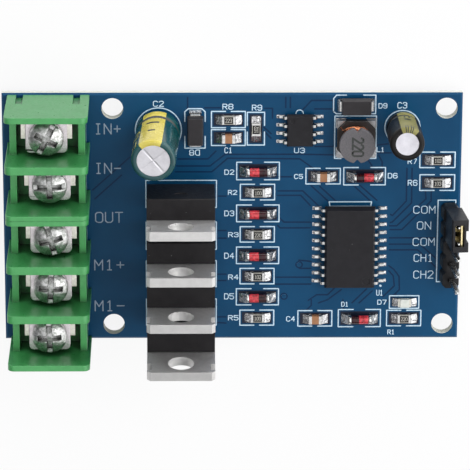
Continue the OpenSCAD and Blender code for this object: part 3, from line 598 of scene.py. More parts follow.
INK_Z, INK_T = TOP + 0.004, 0.018
LINE, THIN = 0.17, 0.14
SMALL_STROKE, TERMINAL_STROKE = 0.125, 0.16


def boxes(text):
    """Boxes of x0 y0 x1 y1, with a semicolon between two boxes."""
    return [tuple(map(float, box.split())) for box in text.split(";")]


def labels(text):
    """Texts, each with its box, with a semicolon between two."""
    return [(row.split()[0], *map(float, row.split()[1:])) for row in text.split(";")]


def polylines(text):
    """Lines of points, written as x,y pairs, with a semicolon between two lines."""
    return [[tuple(map(float, pair.split(","))) for pair in run.split()] for run in text.split(";")]


# Strokes on a grid GLYPH_X wide and GLYPH_Y high; a letter takes LETTER of its pitch
# and the gap after it GAP_PART.
GLYPH_X, GLYPH_Y = 4, 6
LETTER, GAP_PART = 0.72, 0.28
GLYPHS = {
    "0": "1,0 0,1 0,5 1,6 3,6 4,5 4,1 3,0 1,0",
    "1": "1,5 2,6 2,0; 1,0 3,0",
    "2": "0,5 1,6 3,6 4,5 4,4 0,0 4,0",
    "3": "0,5 1,6 3,6 4,5 4,4 3,3.2 4,2.4 4,1 3,0 1,0 0,1; 1.6,3.2 3,3.2",
    "4": "3,0 3,6 0,2 4,2",
    "5": "4,6 0,6 0,3.6 3,3.6 4,2.6 4,1 3,0 1,0 0,1",
    "6": "4,5 3,6 1,6 0,5 0,1 1,0 3,0 4,1 4,2.5 3,3.4 0,3.4",
    "7": "0,6 4,6 1.6,0",
    "8": "1,3.2 0,4 0,5 1,6 3,6 4,5 4,4 3,3.2 1,3.2 0,2.4 0,1 1,0 3,0 4,1 4,2.4 3,3.2",
    "9": "0,1 1,0 3,0 4,1 4,5 3,6 1,6 0,5 0,3.6 1,2.8 4,2.8",
    "C": "4,5 3,6 1,6 0,5 0,1 1,0 3,0 4,1",
    "D": "0,0 0,6 2.8,6 4,4.6 4,1.4 2.8,0 0,0",
    "H": "0,0 0,6; 4,0 4,6; 0,3.2 4,3.2",
    "I": "1,6 3,6; 2,6 2,0; 1,0 3,0",
    "L": "0,6 0,0 4,0",
    "M": "0,0 0,6 2,2.6 4,6 4,0",
    "N": "0,0 0,6 4,0 4,6",
    "R": "0,0 0,6 3,6 4,5 4,4 3,3 0,3; 2,3 4,0",
    "T": "0,6 4,6; 2,6 2,0",
    "U": "0,6 0,1 1,0 3,0 4,1 4,6",
    "+": "2,1.2 2,4.8; 0.2,3 3.8,3",
    "-": "0.2,3 3.8,3",
}
GLYPHS = {key: polylines(text) for key, text in GLYPHS.items()}
GLYPHS["O"] = GLYPHS["0"]


def lettering(build, text, frame_of, width, height, line, thick=INK_T, mat=0):
    """Fits text into width x height with its lower left corner at the frame's origin."""
    pitch = (width - line) / (len(text) - GAP_PART)
    wide, tall = pitch * LETTER, height - line
    for k, ch in enumerate(text):
        left = line / 2 + k * pitch
        for run in GLYPHS[ch]:
            pts = [(left + wide * x / GLYPH_X, line / 2 + tall * y / GLYPH_Y) for x, y in run]
            build.stroke(pts, line, 0.0, thick, frame_of, mat)


def label(build, text, x0, y0, x1, y1, line=SMALL_STROKE, flip=False, mat=0):
    """Text in a box of the board's own frame; flip reads it upside down."""
    (ax, ay), (bx, by) = on_board(x0, y0), on_board(x1, y1)
    place = Matrix.Translation((ax, ay, INK_Z))
    if flip:
        place = Matrix.Translation((bx, by, INK_Z)) @ Matrix.Rotation(math.pi, 4, "Z")
    lettering(build, text, place, bx - ax, by - ay, line, mat=mat)


ink = Build()


def line(points, width=LINE):
    ink.stroke([on_board(*p) for p in points], width, INK_Z, INK_T)


def open_box(x0, y0, x1, y1, gap, along="x"):
    """A rectangle whose two long sides have this part of their length left out in the middle."""
    if along == "x":
        m, g = (x0 + x1) / 2, (x1 - x0) * gap / 2
        for s, e in ((x0, m - g), (x1, m + g)):
            line([(e, y0), (s, y0), (s, y1), (e, y1)])
    else:
        m, g = (y0 + y1) / 2, (y1 - y0) * gap / 2
        for s, e in ((y0, m - g), (y1, m + g)):
            line([(x0, e), (x0, s), (x1, s), (x1, e)])


def arc(cx, cy, r, a0, a1, steps=40, width=LINE):
    """Part of a circle from one angle in degrees to another."""
    x, y = on_board(cx, cy)
    pts = []
    for i in range(steps + 1):
        a = math.radians(a0 + (a1 - a0) * i / steps)
        pts.append((x + r * math.cos(a), y + r * math.sin(a)))
    ink.stroke(pts, width, INK_Z, INK_T)


DIODE_BOXES = boxes("""
0.69 5.85 7.2 8.58; 0.69 -0.72 7.2 1.91; 0.69 -7.33 7.2 -4.7; 0.69 -13.89 7.2 -11.31;
17.05 5.02 23.42 7.73; 16.5 -17.41 23.02 -14.66
""")
CHIP_BOXES = boxes("""
1.25 2.7 6.5 5.15; 1.25 -3.92 6.5 -1.49; 1.25 -10.54 6.5 -8.08; 1.25 -17.13 6.5 -14.72;
-3.18 13.93 1.97 16.44; -3.18 11.18 1.97 13.63; 11.27 5.18 16.52 7.61; 10.24 -17.3 15.5 -14.83;
23.99 -17.29 29.29 -14.8; 28.65 7.7 34.03 10.11; 28.71 4.14 34.03 6.59
""")
TALL_BOX = (2.27, 11.25, 4.89, 16.3)
LED_BOX = (24.39, -14.49, 28.94, -12.48)
for box in DIODE_BOXES:
    open_box(*box, gap=0.3)
for box in CHIP_BOXES:
    open_box(*box, gap=0.17)
open_box(*TALL_BOX, gap=0.2, along="y")
open_box(*LED_BOX, gap=0.0)
# round the two rectifiers and the inductor
for run in polylines("""
15.37,16.4 15.8,16.06 16.6,16.06; 20.5,16.06 21.77,16.06 21.77,18.92 19.9,18.92;
17.3,18.92 15.8,18.92 15.37,18.4 15.37,16.4;
-7.22,14.9 -7.22,16.4 -6.7,16.86 -4.65,16.86 -4.13,16.4 -4.13,14.9;
-7.22,12.6 -7.22,10.78 -4.13,10.78 -4.13,12.6;
16.6,9.15 15.59,9.15 15.59,15.71 21.91,15.71 21.91,9.15 21,9.15
"""):
    line(run)
# behind each transistor
for y0, y1 in ((1.54, 5.78), (-5.06, -0.74), (-10.99, -6.84), (-17.12, -12.92)):
    line([(-12.6, y0), (-13.2, y0), (-13.2, y1), (-2.4, y1), (-2.4, y0), (-3.0, y0)], THIN)
# beside the header and the terminals, above the driver chip, and round the capacitors
line([(32.1, -10.25), (31.58, -10.25), (31.58, 2.61), (34.3, 2.61), (34.3, 2.2)])
line([(-22.3, 18.1), (-22.3, -17.8)], THIN)
line([(15.0, 1.6), (14.88, 2.38), (21.37, 2.38), (21.25, 1.6)])
line([(15.0, 1.7), (21.25, 1.7)], 0.1)
line([(22.93, -10.86), (22.97, -10.9)], 0.34)
arc(-11.24, 13.59, 3.4, -32, 212)
arc(25.89, 13.95, 2.6, -40, 220)
arc(10.22, 16.1, 0.55, 0, 180, 10, THIN)

# text and the corners of its box
LABELS = labels("""
C2 -12.06 17.17 -10.39 18.08; R8 -1.51 16.71 0.15 17.62; R9 2.96 16.55 4.52 17.47;
C1 -1.2 9.98 0.01 10.9; D9 22.18 16.85 23.54 17.68; C3 25.06 16.85 26.55 17.83;
L1 22.02 10.12 23.22 10.89; U3 9.42 9.97 11.08 10.82; R7 26.78 8.26 28.22 9.11;
R6 26.86 4.86 28.36 5.79; D2 -1.2 6.62 0.32 7.45; R2 -0.65 3.49 0.78 4.26;
D3 -1.2 0.15 0.33 1.06; R3 -0.59 -3.16 1.02 -2.36; D4 -1.2 -6.55 0.34 -5.6;
R4 -0.58 -9.88 1.03 -9.05; D5 -1.2 -13 0.34 -12.04; R5 -0.58 -16.37 1.05 -15.53;
C5 9.46 5.96 10.82 6.73; D6 23.78 6.01 25.29 6.88; D1 16.93 -14.21 18.06 -13.41;
C4 8.42 -16.57 9.81 -15.71; D7 22.5 -13.9 23.96 -13.1; R1 24.15 -18.68 25.29 -17.88;
U1 22.32 -12.46 23.38 -11.51
""")
HEADER_LABELS = labels("""
COM 27.8 0.5 31.2 1.74; ON 28.4 -2 30.6 -0.72; COM 27.8 -4.58 31.2 -3.3;
CH1 28 -7.1 31 -5.85; CH2 28 -9.76 31.1 -8.48
""")
TERMINAL_LABELS = labels("""
IN+ -21 12.91 -16.9 14.62; IN- -21 6.79 -16.9 8.52; OUT -21 -0.86 -16.7 0.86;
M1+ -21.2 -8.36 -16.5 -6.63; M1- -21.2 -14.86 -16.5 -13.11
""")
for name, *box in LABELS:
    label(ink, name, *box)
label(ink, "D8", -6.56, 9.62, -4.93, 10.55, flip=True)
for name, *box in HEADER_LABELS:
    label(ink, name, *box)
# the terminal labels print in the darker ink, which is painted shade
for name, *box in TERMINAL_LABELS:
    label(ink, name, *box, TERMINAL_STROKE, mat=1)
ink.make("silkscreen", ["ink", "ink_painted_shade"])

# --- clearance gaps in the copper, and vias

GAPS = polylines("""
7,4.1 10.8,4.1 13.2,1.8; 7,3.4 10.5,3.4 12,1.8; 12.1,4.9 14.7,2.5; 13.4,4.8 15.9,2.5; 18.7,4.8 21.1,2.6;
19.6,4.9 22.2,2.6; 7.1,0 8,-0.8 12.1,-0.8; 7,-1.3 7.4,-1.7 12,-1.7; 10.3,-6.8 12.2,-7; 10.4,-8.1 12.2,-8.1;
6.7,-9.5 12.2,-9.5; 6.7,-10.6 12.2,-10.6; 11.8,-13.2 13.1,-12.3 14.8,-12.3 15.8,-11.3; 13.4,-13.6 14.8,-13.1
16.9,-11.5; 18.6,-13.6 20.8,-11.4; 19.7,-13.6 21.7,-11.7; 24.2,-3.3 31.4,-3.3; 24.2,-4.3 28.9,-4.3
31.5,-6.6; 24.2,-5.2 28.6,-5.2 31.5,-8; 24.3,0.4 24.6,0.2 26.7,2.5 26.7,7.6; 24.3,-0.9 24.6,-0.8 27.5,2.2
27.5,7.6; 24.2,-1.4 25.3,-1.4 29.7,2.8 29.6,4.1; 24.3,-2 26.1,-2 30.5,2.5 30.5,4.1; 24.2,-7.7 25,-8.3
25.8,-9.4 25.9,-11.5 24,-13.4; 24.2,-8.5 24.9,-9.3 25.1,-10.9 23.4,-12.6; -21.3,4.3 -15.6,9.4; -21,2.9
-16.9,6.6; -8.3,9.1 -3.7,9.1 -2.5,10.3; -8.5,8 -3.4,8 -1.1,9.8 10.3,9.8 15.5,9.7; -8.7,7.1 -3.1,7.1 -0.7,9.2
10.3,9.1 12.1,7.8 13.1,6.9; -2.1,3.3 -0.9,3.3; -2.1,-2.1 -0.9,-2.1; -2.1,-3.3 -0.9,-3.3; -2.3,-9 -0.9,-9;
-2.3,-10 -0.9,-10; -2.3,-15.8 -0.9,-15.8; -2.3,-16.7 -0.9,-16.8; 6.7,6.3 9.1,6.3; -6.8,16.9 -6.8,18.6;
-4.2,17 -1.7,17; 4.9,16.9 6.1,16.9 6.1,15.4; 4.8,14 5.9,13; 4.8,13.4 5.9,12.3; 10.7,16.7 12,18.1 15.2,18.1;
12.5,16.8 15.2,16.8; 12.6,11 15.4,11; 21.9,11.2 23.8,11.4; 21.9,10 24.3,10; 20.7,8.9 21.3,8.1 21.3,7.8;
22.3,9.7 22.9,8.6 22.9,7.8; 8.1,18.6 8.1,17; 8.8,18.6 8.8,17; 12.3,-13.1 12.3,-14 11.6,-14.7; 17.2,-13.1
17.3,-14.6; -11.2,-18.9 -11.1,-18.5 -3.4,-18.5; 24.8,-13.1 25.4,-12.2
""")
VIAS = [(10.35, -7.51), (8.06, -12.53)]

GAP_WIDTH, PAD_MARGIN = 0.24, 0.3
SUNK = TOP - 0.004  # the pieces start this far inside the board

gaps = Build()
for run in GAPS:
    gaps.stroke([on_board(*p) for p in run], GAP_WIDTH, SUNK, 0.007)
for x0, y0, x1, y1 in DIODE_BOXES + CHIP_BOXES + [TALL_BOX, LED_BOX]:
    (ax, ay), (cx, cy) = on_board(x0, y0), on_board(x1, y1)
    left, right, front, rear = ax + PAD_MARGIN, cx - PAD_MARGIN, ay + PAD_MARGIN, cy - PAD_MARGIN
    gaps.prism([(left, front), (right, front), (right, rear), (left, rear)], SUNK, TOP + 0.0046, 1)
ANNULUS = [(0.0, TOP + 0.003), (0.58, TOP + 0.003), (0.58, SUNK), (0.0, SUNK)]
BARREL = [(0.36, TOP - 0.002), (0.36, TOP + 0.012), (0.3, TOP + 0.02), (0.2, TOP + 0.014),
          (0.0, TOP - 0.002)]
for via in VIAS:
    place = Matrix.Translation((*on_board(*via), 0))
    gaps.revolve(ANNULUS, 24, 0, place)
    gaps.revolve(BARREL, 24, 2, place)
gaps.make("copper_gaps", ["gap", "pad_gap", "board"], "board")

# --- solder on the small parts

BLOB_CELLS = (12, 10)  # of a fillet's grid, along and across it
SOFT_CORNER = 0.28  # how far the outline's corners are drawn in


def blob(build, x, y, turn, length, width, height, seed):
    """A fillet of solder: lowest at its outer end, highest against the part, with an uneven skin."""
    rnd = random.Random(seed)
    waves = [(rnd.uniform(1.5, 4.0), rnd.uniform(1.5, 4.0), rnd.uniform(0, 6.3), rnd.uniform(0.02, 0.06))
             for _ in range(3)]
    nx, ny = BLOB_CELLS
    place = Matrix.Translation((x, y, TOP)) @ Matrix.Rotation(turn, 4, "Z")
    top = []
    for j in range(ny + 1):
        for i in range(nx + 1):
            u, v = 2 * i / nx - 1, 2 * j / ny - 1
            # square to round, so that the outline has soft corners
            px = u * math.sqrt(max(0.0, 1 - SOFT_CORNER * v * v))
            py = v * math.sqrt(max(0.0, 1 - SOFT_CORNER * u * u))
            h = (1 - abs(u) ** 4) * (1 - abs(v) ** 3.2)
            h = max(h, 0.0) ** 0.6
            h *= 0.55 - 0.45 * u  # leans up against the part, which is at u = -1
            for a, b, c, d in waves:
                h += d * math.sin(a * u + c) * math.cos(b * v + c) * (1 - u * u) * (1 - v * v)
            top.append((px * length / 2, py * width / 2, 0.02 + max(h, 0) * height))
    faces = []
    for j in range(ny):
        for i in range(nx):
            a = j * (nx + 1) + i
            faces.append([a, a + 1, a + nx + 2, a + nx + 1])
    # the rim of the grid, once round, carries a skirt down to the board
    ring = list(range(nx + 1))
    ring += [j * (nx + 1) + nx for j in range(1, ny + 1)]
    ring += [ny * (nx + 1) + i for i in range(nx - 1, -1, -1)]
    ring += [j * (nx + 1) for j in range(ny - 1, 0, -1)]
    base = len(top)
    verts = top + [(top[i][0], top[i][1], 0.0) for i in ring]
    n = len(ring)
    for k in range(n):
        faces.append([ring[k], base + k, base + (k + 1) % n, ring[(k + 1) % n]])
    faces.append([base + k for k in range(n)])
    build.add(verts, faces, 0, place)


solder = Build()
seed = 0
# end caps that come in pairs, with the height, length and width of their fillets
PAIR_NODES = (("resistor_caps", 0.5, 1.15, 1.3), ("ceramic_caps", 0.7, 1.15, 1.3),
              ("glass_diode_caps", 0.95, 1.3, 1.5), ("led_terminals", 0.4, 1.0, 1.2))
for node, height, length, width in PAIR_NODES:
    parts = loose_parts(node)
    centres = [(lo + hi) / 2 for lo, hi in parts]
    used = set()
    for i, c in enumerate(centres):
        if i in used:
            continue
        others = [k for k in range(len(centres)) if k != i and k not in used]
        j = min(others, key=lambda k: (centres[k] - c).length)
        used.update((i, j))
        for a, b in ((i, j), (j, i)):
            d = centres[a] - centres[b]
            d.z = 0
            d.normalize()
            end = centres[a] + d * (length * 0.52)
            seed += 1
            blob(solder, end.x, end.y, math.atan2(d.y, d.x), length, width, height, seed)
solder.make("solder_fillets", ["solder"], "solder", 50)

# toes of the chip leads
toes = Build()
for node, inset in (("driver_chip_leads", 0.1), ("regulator_chip_leads", 0.08)):
    lo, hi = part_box(node)
    mid = (lo.x + hi.x) / 2 / MM
    for a, b in loose_parts(node):
        side = 1 if (a.x + b.x) / 2 > mid else -1
        x = b.x if side > 0 else a.x
        seed += 1
        blob(toes, x + side * inset, (a.y + b.y) / 2, 0 if side > 0 else math.pi, 0.5, 0.46, 0.2, seed)
toes.make("lead_toes", ["solder"], "solder", 50)

# --- capacitors

# at: from the board's left front corner; lean and turn: degrees; stripe: its edges in degrees
CANS = {
    "a": dict(at=(23.8, 32.85), d=6.3, h=11.0, lean=6.8, turn=-31.0, stripe=(69, 131),
              shell="can", mats=["sleeve_a", "stripe_a", "mark"], slot="sleeve_green"),
    "b": dict(at=(60.95, 33.15), d=4.8, h=10.5, lean=-4.5, turn=0.0, stripe=(50, 114),
              shell="can_painted_shade", mats=["sleeve_b", "stripe_b", "mark"], slot="sleeve_dark"),
}
CAN_STEPS = 96  # facets round a can
RIM = 0.45  # radius of the can's top edge
SLEEVE = 0.12  # thickness of the printed sleeve
FOOT_GAP = 0.6  # between the board and the can
VENT_ANGLES, VENT_DEPTH, VENT_WIDTH, VENT_REACH = (40, 130, 220, 310), 0.05, 0.2, 0.86
TOP_RINGS, DISH = 30, 0.04
SKIN, STRIPE, MARK = 0, 1, 2  # materials of a sleeve


def can_frame(c):
    """The can's own axis: it leans about its foot on the board."""
    x = LO.x / MM + c["at"][0] * STRETCH_X
    y = LO.y / MM + c["at"][1] * STRETCH_Y
    turn = Matrix.Rotation(math.radians(c["turn"]), 4, "Z")
    return (Matrix.Translation((x, y, TOP)) @ turn @ Matrix.Rotation(math.radians(c["lean"]), 4, "X")
            @ turn.inverted() @ Matrix.Translation((0, 0, FOOT_GAP)))


def vent_depth(kind, x, y, r):
    """Depth of the scored lines in the larger can's top."""
    if kind == "b":
        return 0.0
    best = math.hypot(x, y)
    for angle in VENT_ANGLES:
        t = math.radians(angle)
        along = x * math.cos(t) + y * math.sin(t)
        off = abs(-x * math.sin(t) + y * math.cos(t))
        if 0 <= along < r * VENT_REACH:
            best = min(best, off)
    return VENT_DEPTH * max(0.0, 1 - best / VENT_WIDTH)


def make_shell(key, c):
    """The aluminium can with its crimped groove, round rim and dished, scored top."""
    r, h, place = c["d"] / 2, c["h"], can_frame(c)
    body = Build()
    profile = [(r - 0.6, 1.1), (r - 0.6, 0.1), (r - 0.35, 0.0), (r - 0.05, 0.08), (r, 0.35), (r, 1.3),
               (r - 0.16, 1.55), (r - 0.45, 1.85), (r - 0.45, 2.05), (r - 0.16, 2.35), (r, 2.6), (r, 4.0),
               (r, h - RIM - 2.5), (r, h - RIM)]
    for k in range(1, 9):
        t = k * math.pi / 16
        profile.append((r - RIM + RIM * math.cos(t), h - RIM + RIM * math.sin(t)))
    body.revolve(profile, CAN_STEPS, 0, place)

    flat_r = r - RIM
    points = []
    for i in range(TOP_RINGS + 1):
        ring_r = flat_r * (1 - i / TOP_RINGS)
        for k in range(CAN_STEPS if i < TOP_RINGS else 1):
            a = TAU * k / CAN_STEPS
            x, y = ring_r * math.cos(a), ring_r * math.sin(a)
            dish = DISH * (1 - (ring_r / flat_r) ** 2)
            points.append((x, y, h - vent_depth(key, x, y, flat_r) - dish * min(1.0, i / 3)))
    faces = []
    for i in range(TOP_RINGS):
        start = i * CAN_STEPS
        for k in range(CAN_STEPS):
            a, b = start + k, start + (k + 1) % CAN_STEPS
            if i < TOP_RINGS - 1:
                faces.append([a, b, b + CAN_STEPS, a + CAN_STEPS])
            else:
                faces.append([a, b, start + CAN_STEPS])
    body.add(points, faces, 0, place)
    can = body.make(f"cap_{key}_shell", [c["shell"]], "can_aluminium", 40, [f"cap_{key}_can"])
    weld = can.modifiers.new("weld", "WELD")
    weld.merge_threshold = 2 * TINY


def make_sleeve(key, c):
    """The shrunk sleeve, with its stripe, the stripe's marks and a dark band in the groove, which is
    painted shade.
    """
    r, h = c["d"] / 2, c["h"]
    out, inner = r + SLEEVE, r - 0.72
    skin = Build()
    lip = [(r, 0.3), (r + 0.03, 0.16), (out, 0.16), (out, 1.25), (out - 0.1, 1.55), (out - 0.36, 1.85),
           (out - 0.36, 2.05), (out - 0.1, 2.35), (out, 2.65)]
    levels = 30
    lip += [(out, 2.65 + (h - RIM - 2.65) * (k + 1) / levels) for k in range(levels)]
    for k in range(1, 7):
        t = k * math.pi / 12
        lip.append((out - RIM + RIM * math.cos(t), h + SLEEVE - RIM + RIM * math.sin(t)))
    lip += [(inner + 0.05, h + SLEEVE), (inner, h + SLEEVE - 0.03), (inner, h + 0.01)]
    s0, s1 = c["stripe"]

    def surface(k, i):
        """The material of a face, by its angle and its height on the can."""
        a = 360 * (i + 0.5) / CAN_STEPS
        z = (lip[k][1] + lip[min(k + 1, len(lip) - 1)][1]) / 2
        off = abs(a - (s0 + s1) / 2)
        # a dark band round the groove: painted shade
        if 1.6 < z < 1.8:
            return MARK
        if not s0 <= a <= s1:
            return SKIN
        if key == "a":
            marked = abs(z - 7.1) < 0.36 and off < 9 or abs(z - 4.3) < 0.3 and off < 18
        else:
            teeth = z > h - 1.2 and off < 20 and int(off / 3.7) % 2 == 1
            marked = teeth or abs(z - 5.0) < 0.3 and off < 11
        return MARK if marked else STRIPE

    skin.revolve(lip, CAN_STEPS, 0, can_frame(c), mat_of=surface)
    skin.make(f"cap_{key}_jacket", c["mats"], c["slot"], 40, [f"cap_{key}_sleeve"])


for key, c in CANS.items():
    make_shell(key, c)
    make_sleeve(key, c)


def sleeve_marks(build, text, c, start, end, z0, z1, line):
    """Lettering bent round a can, read from its foot, from one angle in degrees to another."""
    place, radius = can_frame(c), c["d"] / 2 + SLEEVE
    pitch = (end - start) / (len(text) - GAP_PART)
    for k, ch in enumerate(text):
        for run in GLYPHS[ch]:
            pts = [(start + pitch * (k + LETTER * x / GLYPH_X), z0 + (z1 - z0) * y / GLYPH_Y)
                   for x, y in run]
            for (a0, h0), (a1, h1) in zip(pts, pts[1:]):
                flat = Vector((math.radians(a1 - a0) * radius, h1 - h0))
                side = Vector((-flat.y, flat.x)).normalized() * line / 2
                da, dz = math.degrees(side.x / radius), side.y
                steps = max(1, round(abs(a1 - a0) / 5))
                verts = []
                for i in range(steps + 1):
                    a, z = a0 + (a1 - a0) * i / steps, h0 + (h1 - h0) * i / steps
                    for sign in (1, -1):
                        t = math.radians(a + sign * da)
                        for r in (radius - 0.004, radius + 0.008):
                            verts.append((r * math.cos(t), r * math.sin(t), z + sign * dz))
                faces = [[0, 1, 3, 2], [4 * steps + 2, 4 * steps + 3, 4 * steps + 1, 4 * steps]]
                for i in range(steps):
                    o = 4 * i
                    faces += [[o + 1, o + 5, o + 7, o + 3], [o, o + 2, o + 6, o + 4],
                              [o, o + 4, o + 5, o + 1], [o + 2, o + 3, o + 7, o + 6]]
                build.add(verts, faces, 0, place)


print_a, print_b = Build(), Build()
c = CANS["a"]
sleeve_marks(print_a, "61", c, 176, 136, c["h"] - 0.5, c["h"] - 2.4, 0.28)
sleeve_marks(print_a, "52", c, 176, 136, c["h"] - 3.6, c["h"] - 5.5, 0.28)
print_a.make("cap_a_print", ["stripe_a"])
sleeve_marks(print_b, "11", CANS["b"], 70, 96, 2.9, 3.9, 0.16)
print_b.make("cap_b_print", ["mark"])

# --- inductor

lo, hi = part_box("inductor_winding")
core = ((lo + hi) / 2) / MM
wire, turns, per = 0.135, 8, 40  # radius of the wire, turns of a layer, and steps of a turn
LAYER_TURN = 1.1
z0, z1 = lo.z / MM + wire, hi.z / MM - wire
radius = (hi.x - lo.x) / 2 / MM - wire
coil = Build()
for layer, inset in ((0, 0.0), (1, 0.24)):
    path = []
    for i in range(turns * per + 1):
        a = TAU * i / per + layer * LAYER_TURN
        path.append((core.x + (radius - inset) * math.cos(a), core.y + (radius - inset) * math.sin(a),
                     z0 + (z1 - z0) * i / (turns * per)))
    coil.tube(path, wire)
# the drum that the layers are wound on
drum = [(radius - 0.4, z0 - wire), (radius - 0.4, z1 + wire), (1.3, z1 + wire), (1.3, z0 - wire)]
coil.revolve(drum, 32, 0, Matrix.Translation((core.x, core.y, 0)), closed=True)
# one end of the wire climbs beside the notch and runs off to the left
coil.tube([(core.x + 0.1, core.y + radius, z1 - 0.2), (core.x - 0.45, core.y + 2.55, z1 - 0.05),
           (core.x - 1.35, core.y + 2.3, z1 - 0.35), (core.x - 2.0, core.y + 1.75, z1 - 0.9),
           (core.x - 2.35, core.y + 1.9, TOP + 1.3)], 0.13)
coil.make("winding_turns", ["copper"], "winding", 60, ["inductor_winding"])

marks = Build()
top_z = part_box("inductor_core")[1].z / MM
place = Matrix.Translation((core.x - 0.85, core.y + 1.4, top_z - 0.003))
place = place @ Matrix.Rotation(-math.pi / 2, 4, "Z")
lettering(marks, "220", place, 3.05, 1.85, 0.3, thick=0.012)
marks.make("inductor_print", ["mark"])

# --- glass diodes

glass = Build()
for lo, hi in loose_parts("glass_diode_bodies"):
    c = (lo + hi) / 2
    half, r = (hi.x - lo.x) / 2, (hi.z - lo.z) / 2
    flip = c.x > MID_X + 10  # the two on the right lie the other way round
    place = Matrix.Translation(c) @ Matrix.Rotation(math.pi / 2, 4, "Y")
    prof = [(0.0, -half), (r * 0.86, -half), (r * 0.98, -half + 0.1)]
    prof += [(r, -half + 0.2 + (2 * half - 0.4) * k / 16) for k in range(17)]
    prof += [(r * 0.98, half - 0.1), (r * 0.86, half), (0.0, half)]

    def zone(k, i, prof=prof, half=half, flip=flip):
        """Red glass at one end of the body, dark at the other."""
        z = (prof[k][1] + prof[min(k + 1, len(prof) - 1)][1]) / 2 / half
        z = -z if flip else z
        return 0 if z < 0.12 else 1

    glass.revolve(prof, 32, 0, place, mat_of=zone)
glass.make("glass_bodies", ["glass_red", "glass_dark"], "diode_glass", 50, ["glass_diode_bodies"])

# --- codes on the resistors

codes, glaze = Build(), Build()
GLAZE = [(-0.62, -0.5), (0.62, -0.5), (0.66, -0.46), (0.66, 0.46), (0.62, 0.5), (-0.62, 0.5),
         (-0.66, 0.46), (-0.66, -0.46)]
GLAZE_TOP = 0.02
# plain numbers, where the product has its own codes
CODES = ["100", "220", "102", "100", "220", "103", "103", "223", "102"]
for k, (lo, hi) in enumerate(loose_parts("resistor_bodies")):
    c = (lo + hi) / 2
    place = Matrix.Translation((c.x, c.y, hi.z))
    if hi.y - lo.y > hi.x - lo.x:
        place = place @ Matrix.Rotation(math.pi / 2, 4, "Z")
    glaze.prism(GLAZE, -0.01, GLAZE_TOP, 0, place)
    corner = place @ Matrix.Translation((-0.5, -0.31, GLAZE_TOP))
    lettering(codes, CODES[k % len(CODES)], corner, 1.0, 0.62, 0.075, thick=0.006)
glaze.make("resistor_glaze", ["film"])
codes.make("resistor_codes", ["code"])

# --- joints underneath

under = Build()
for lo, hi in loose_parts("solder_joints"):
    c = (lo + hi) / 2
    r = (hi.x - lo.x) / 2
    prof = [(0.0, lo.z)]
    for k in range(9):
        t = k / 8
        prof.append((r * (0.36 + 0.64 * t ** 2.2), lo.z + 0.08 + (hi.z - lo.z - 0.1) * t))
    prof += [(r, hi.z), (0.0, hi.z)]
    under.revolve(prof, 24, 0, Matrix.Translation((c.x, c.y, 0)))
under.make("solder_cones", ["solder"], "solder", 50, ["solder_joints"])

# --- floor and light

FLOOR_GAP = 0.00002  # metres below the lowest point of the model
PAPER = 0.86  # the floor's own colour
GLOW_PART = 0.86  # how much of it the camera and reflections see as glow instead


def floor_material():
    """White paper that takes the shadow, mixed with a glow of strength 1 for camera and glossy rays."""
    mat = bpy.data.materials.new("floor_paper")
    mat.use_nodes = True
    g = Nodes(mat.node_tree)
    g.tree.nodes.clear()
    paper = g.node("ShaderNodeBsdfDiffuse")
    paper.inputs["Color"].default_value = (PAPER, PAPER, PAPER, 1)
    glow = g.node("ShaderNodeEmission")
    glow.inputs["Color"].default_value = (1, 1, 1, 1)
    glow.inputs["Strength"].default_value = 1.0
    rays = g.node("ShaderNodeLightPath").outputs
    seen = g.maths("MAXIMUM", rays["Is Camera Ray"], rays["Is Glossy Ray"])
    blend = g.node("ShaderNodeMixShader")
    g.join(g.maths("MULTIPLY", seen, GLOW_PART), blend.inputs["Fac"])
    g.join(paper.outputs[0], blend.inputs[1])
    g.join(glow.outputs[0], blend.inputs[2])
    g.join(blend.outputs[0], g.node("ShaderNodeOutputMaterial").inputs["Surface"])
    return mat


bpy.ops.mesh.primitive_plane_add(size=6, location=(0, 0, min(v.z for v in cad_box) - FLOOR_GAP))
floor = bpy.context.object
floor.name = "floor"
floor.data.materials.append(floor_material())

world = bpy.data.worlds.new("studio")
bpy.context.scene.world = world
world.use_nodes = True
studio = Nodes(world.node_tree)
sky = studio.node("ShaderNodeSeparateXYZ")
studio.join(studio.node("ShaderNodeTexCoord").outputs["Generated"], sky.inputs[0])


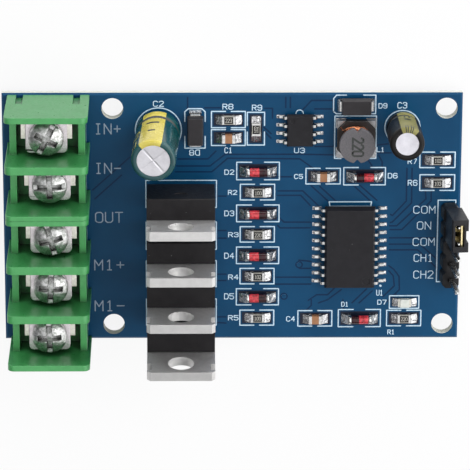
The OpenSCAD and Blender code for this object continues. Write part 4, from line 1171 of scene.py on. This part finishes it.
def rise(axis, low, high):
    """0 to 1 as the direction's axis goes from low to high."""
    return studio.remap(sky.outputs[axis], low, high, kind="SMOOTHSTEP")


# a grey room with a bright back wall, a dark belt above them and a pale ceiling; the camera sees white
room = studio.mix(rise("Y", 0.2, 0.7), (0.5, 0.5, 0.51), (3.9, 3.9, 3.92))
room = studio.mix(rise("Z", 0.12, 0.4), room, (0.12, 0.12, 0.13))
room = studio.mix(rise("Z", 0.6, 0.84), room, (0.8, 0.8, 0.82))
shown = studio.mix(studio.node("ShaderNodeLightPath").outputs["Is Camera Ray"], room, (1, 1, 1))
background = world.node_tree.nodes["Background"]
background.inputs["Strength"].default_value = 1.0
studio.join(shown, background.inputs["Color"])


def softbox(name, place, size, power):
    """A white area lamp that looks at the origin."""
    data = bpy.data.lights.new(name, "AREA")
    data.shape = "RECTANGLE"
    data.size, data.size_y = size
    data.energy = power
    lamp = bpy.data.objects.new(name, data)
    lamp.location = place
    lamp.rotation_mode = "QUATERNION"
    lamp.rotation_quaternion = (-Vector(place)).to_track_quat("-Z", "Y")
    bpy.context.scene.collection.objects.link(lamp)


softbox("ceiling", (0.12, 0.1, 0.9), (1.4, 1.2), 1.5)
softbox("right_box", (0.42, 0.06, 0.34), (1.0, 0.66), 3.6)

# the camera that the photo was taken with, as fitted to the board's corners and holes
CAMERA_AT = (-0.014493, 0.166015, 0.50101)
CAMERA_SPIN = (18.6765, 0.8751, -0.0367)  # axis times degrees, from the frame to the camera
SENSOR, LENS = 36, 270.6

cam_data = bpy.data.cameras.new("camera")
cam_data.sensor_width, cam_data.lens = SENSOR, LENS
camera = bpy.data.objects.new("camera", cam_data)
bpy.context.scene.collection.objects.link(camera)
turn = Vector(CAMERA_SPIN)
spin = Matrix.Rotation(math.radians(turn.length), 4, turn.normalized())
camera.matrix_world = Matrix.Translation(CAMERA_AT) @ spin.inverted()
cam_data.clip_start, cam_data.clip_end = 0.01, 20
bpy.context.scene.camera = camera
bpy.context.scene.view_settings.view_transform = "Standard"
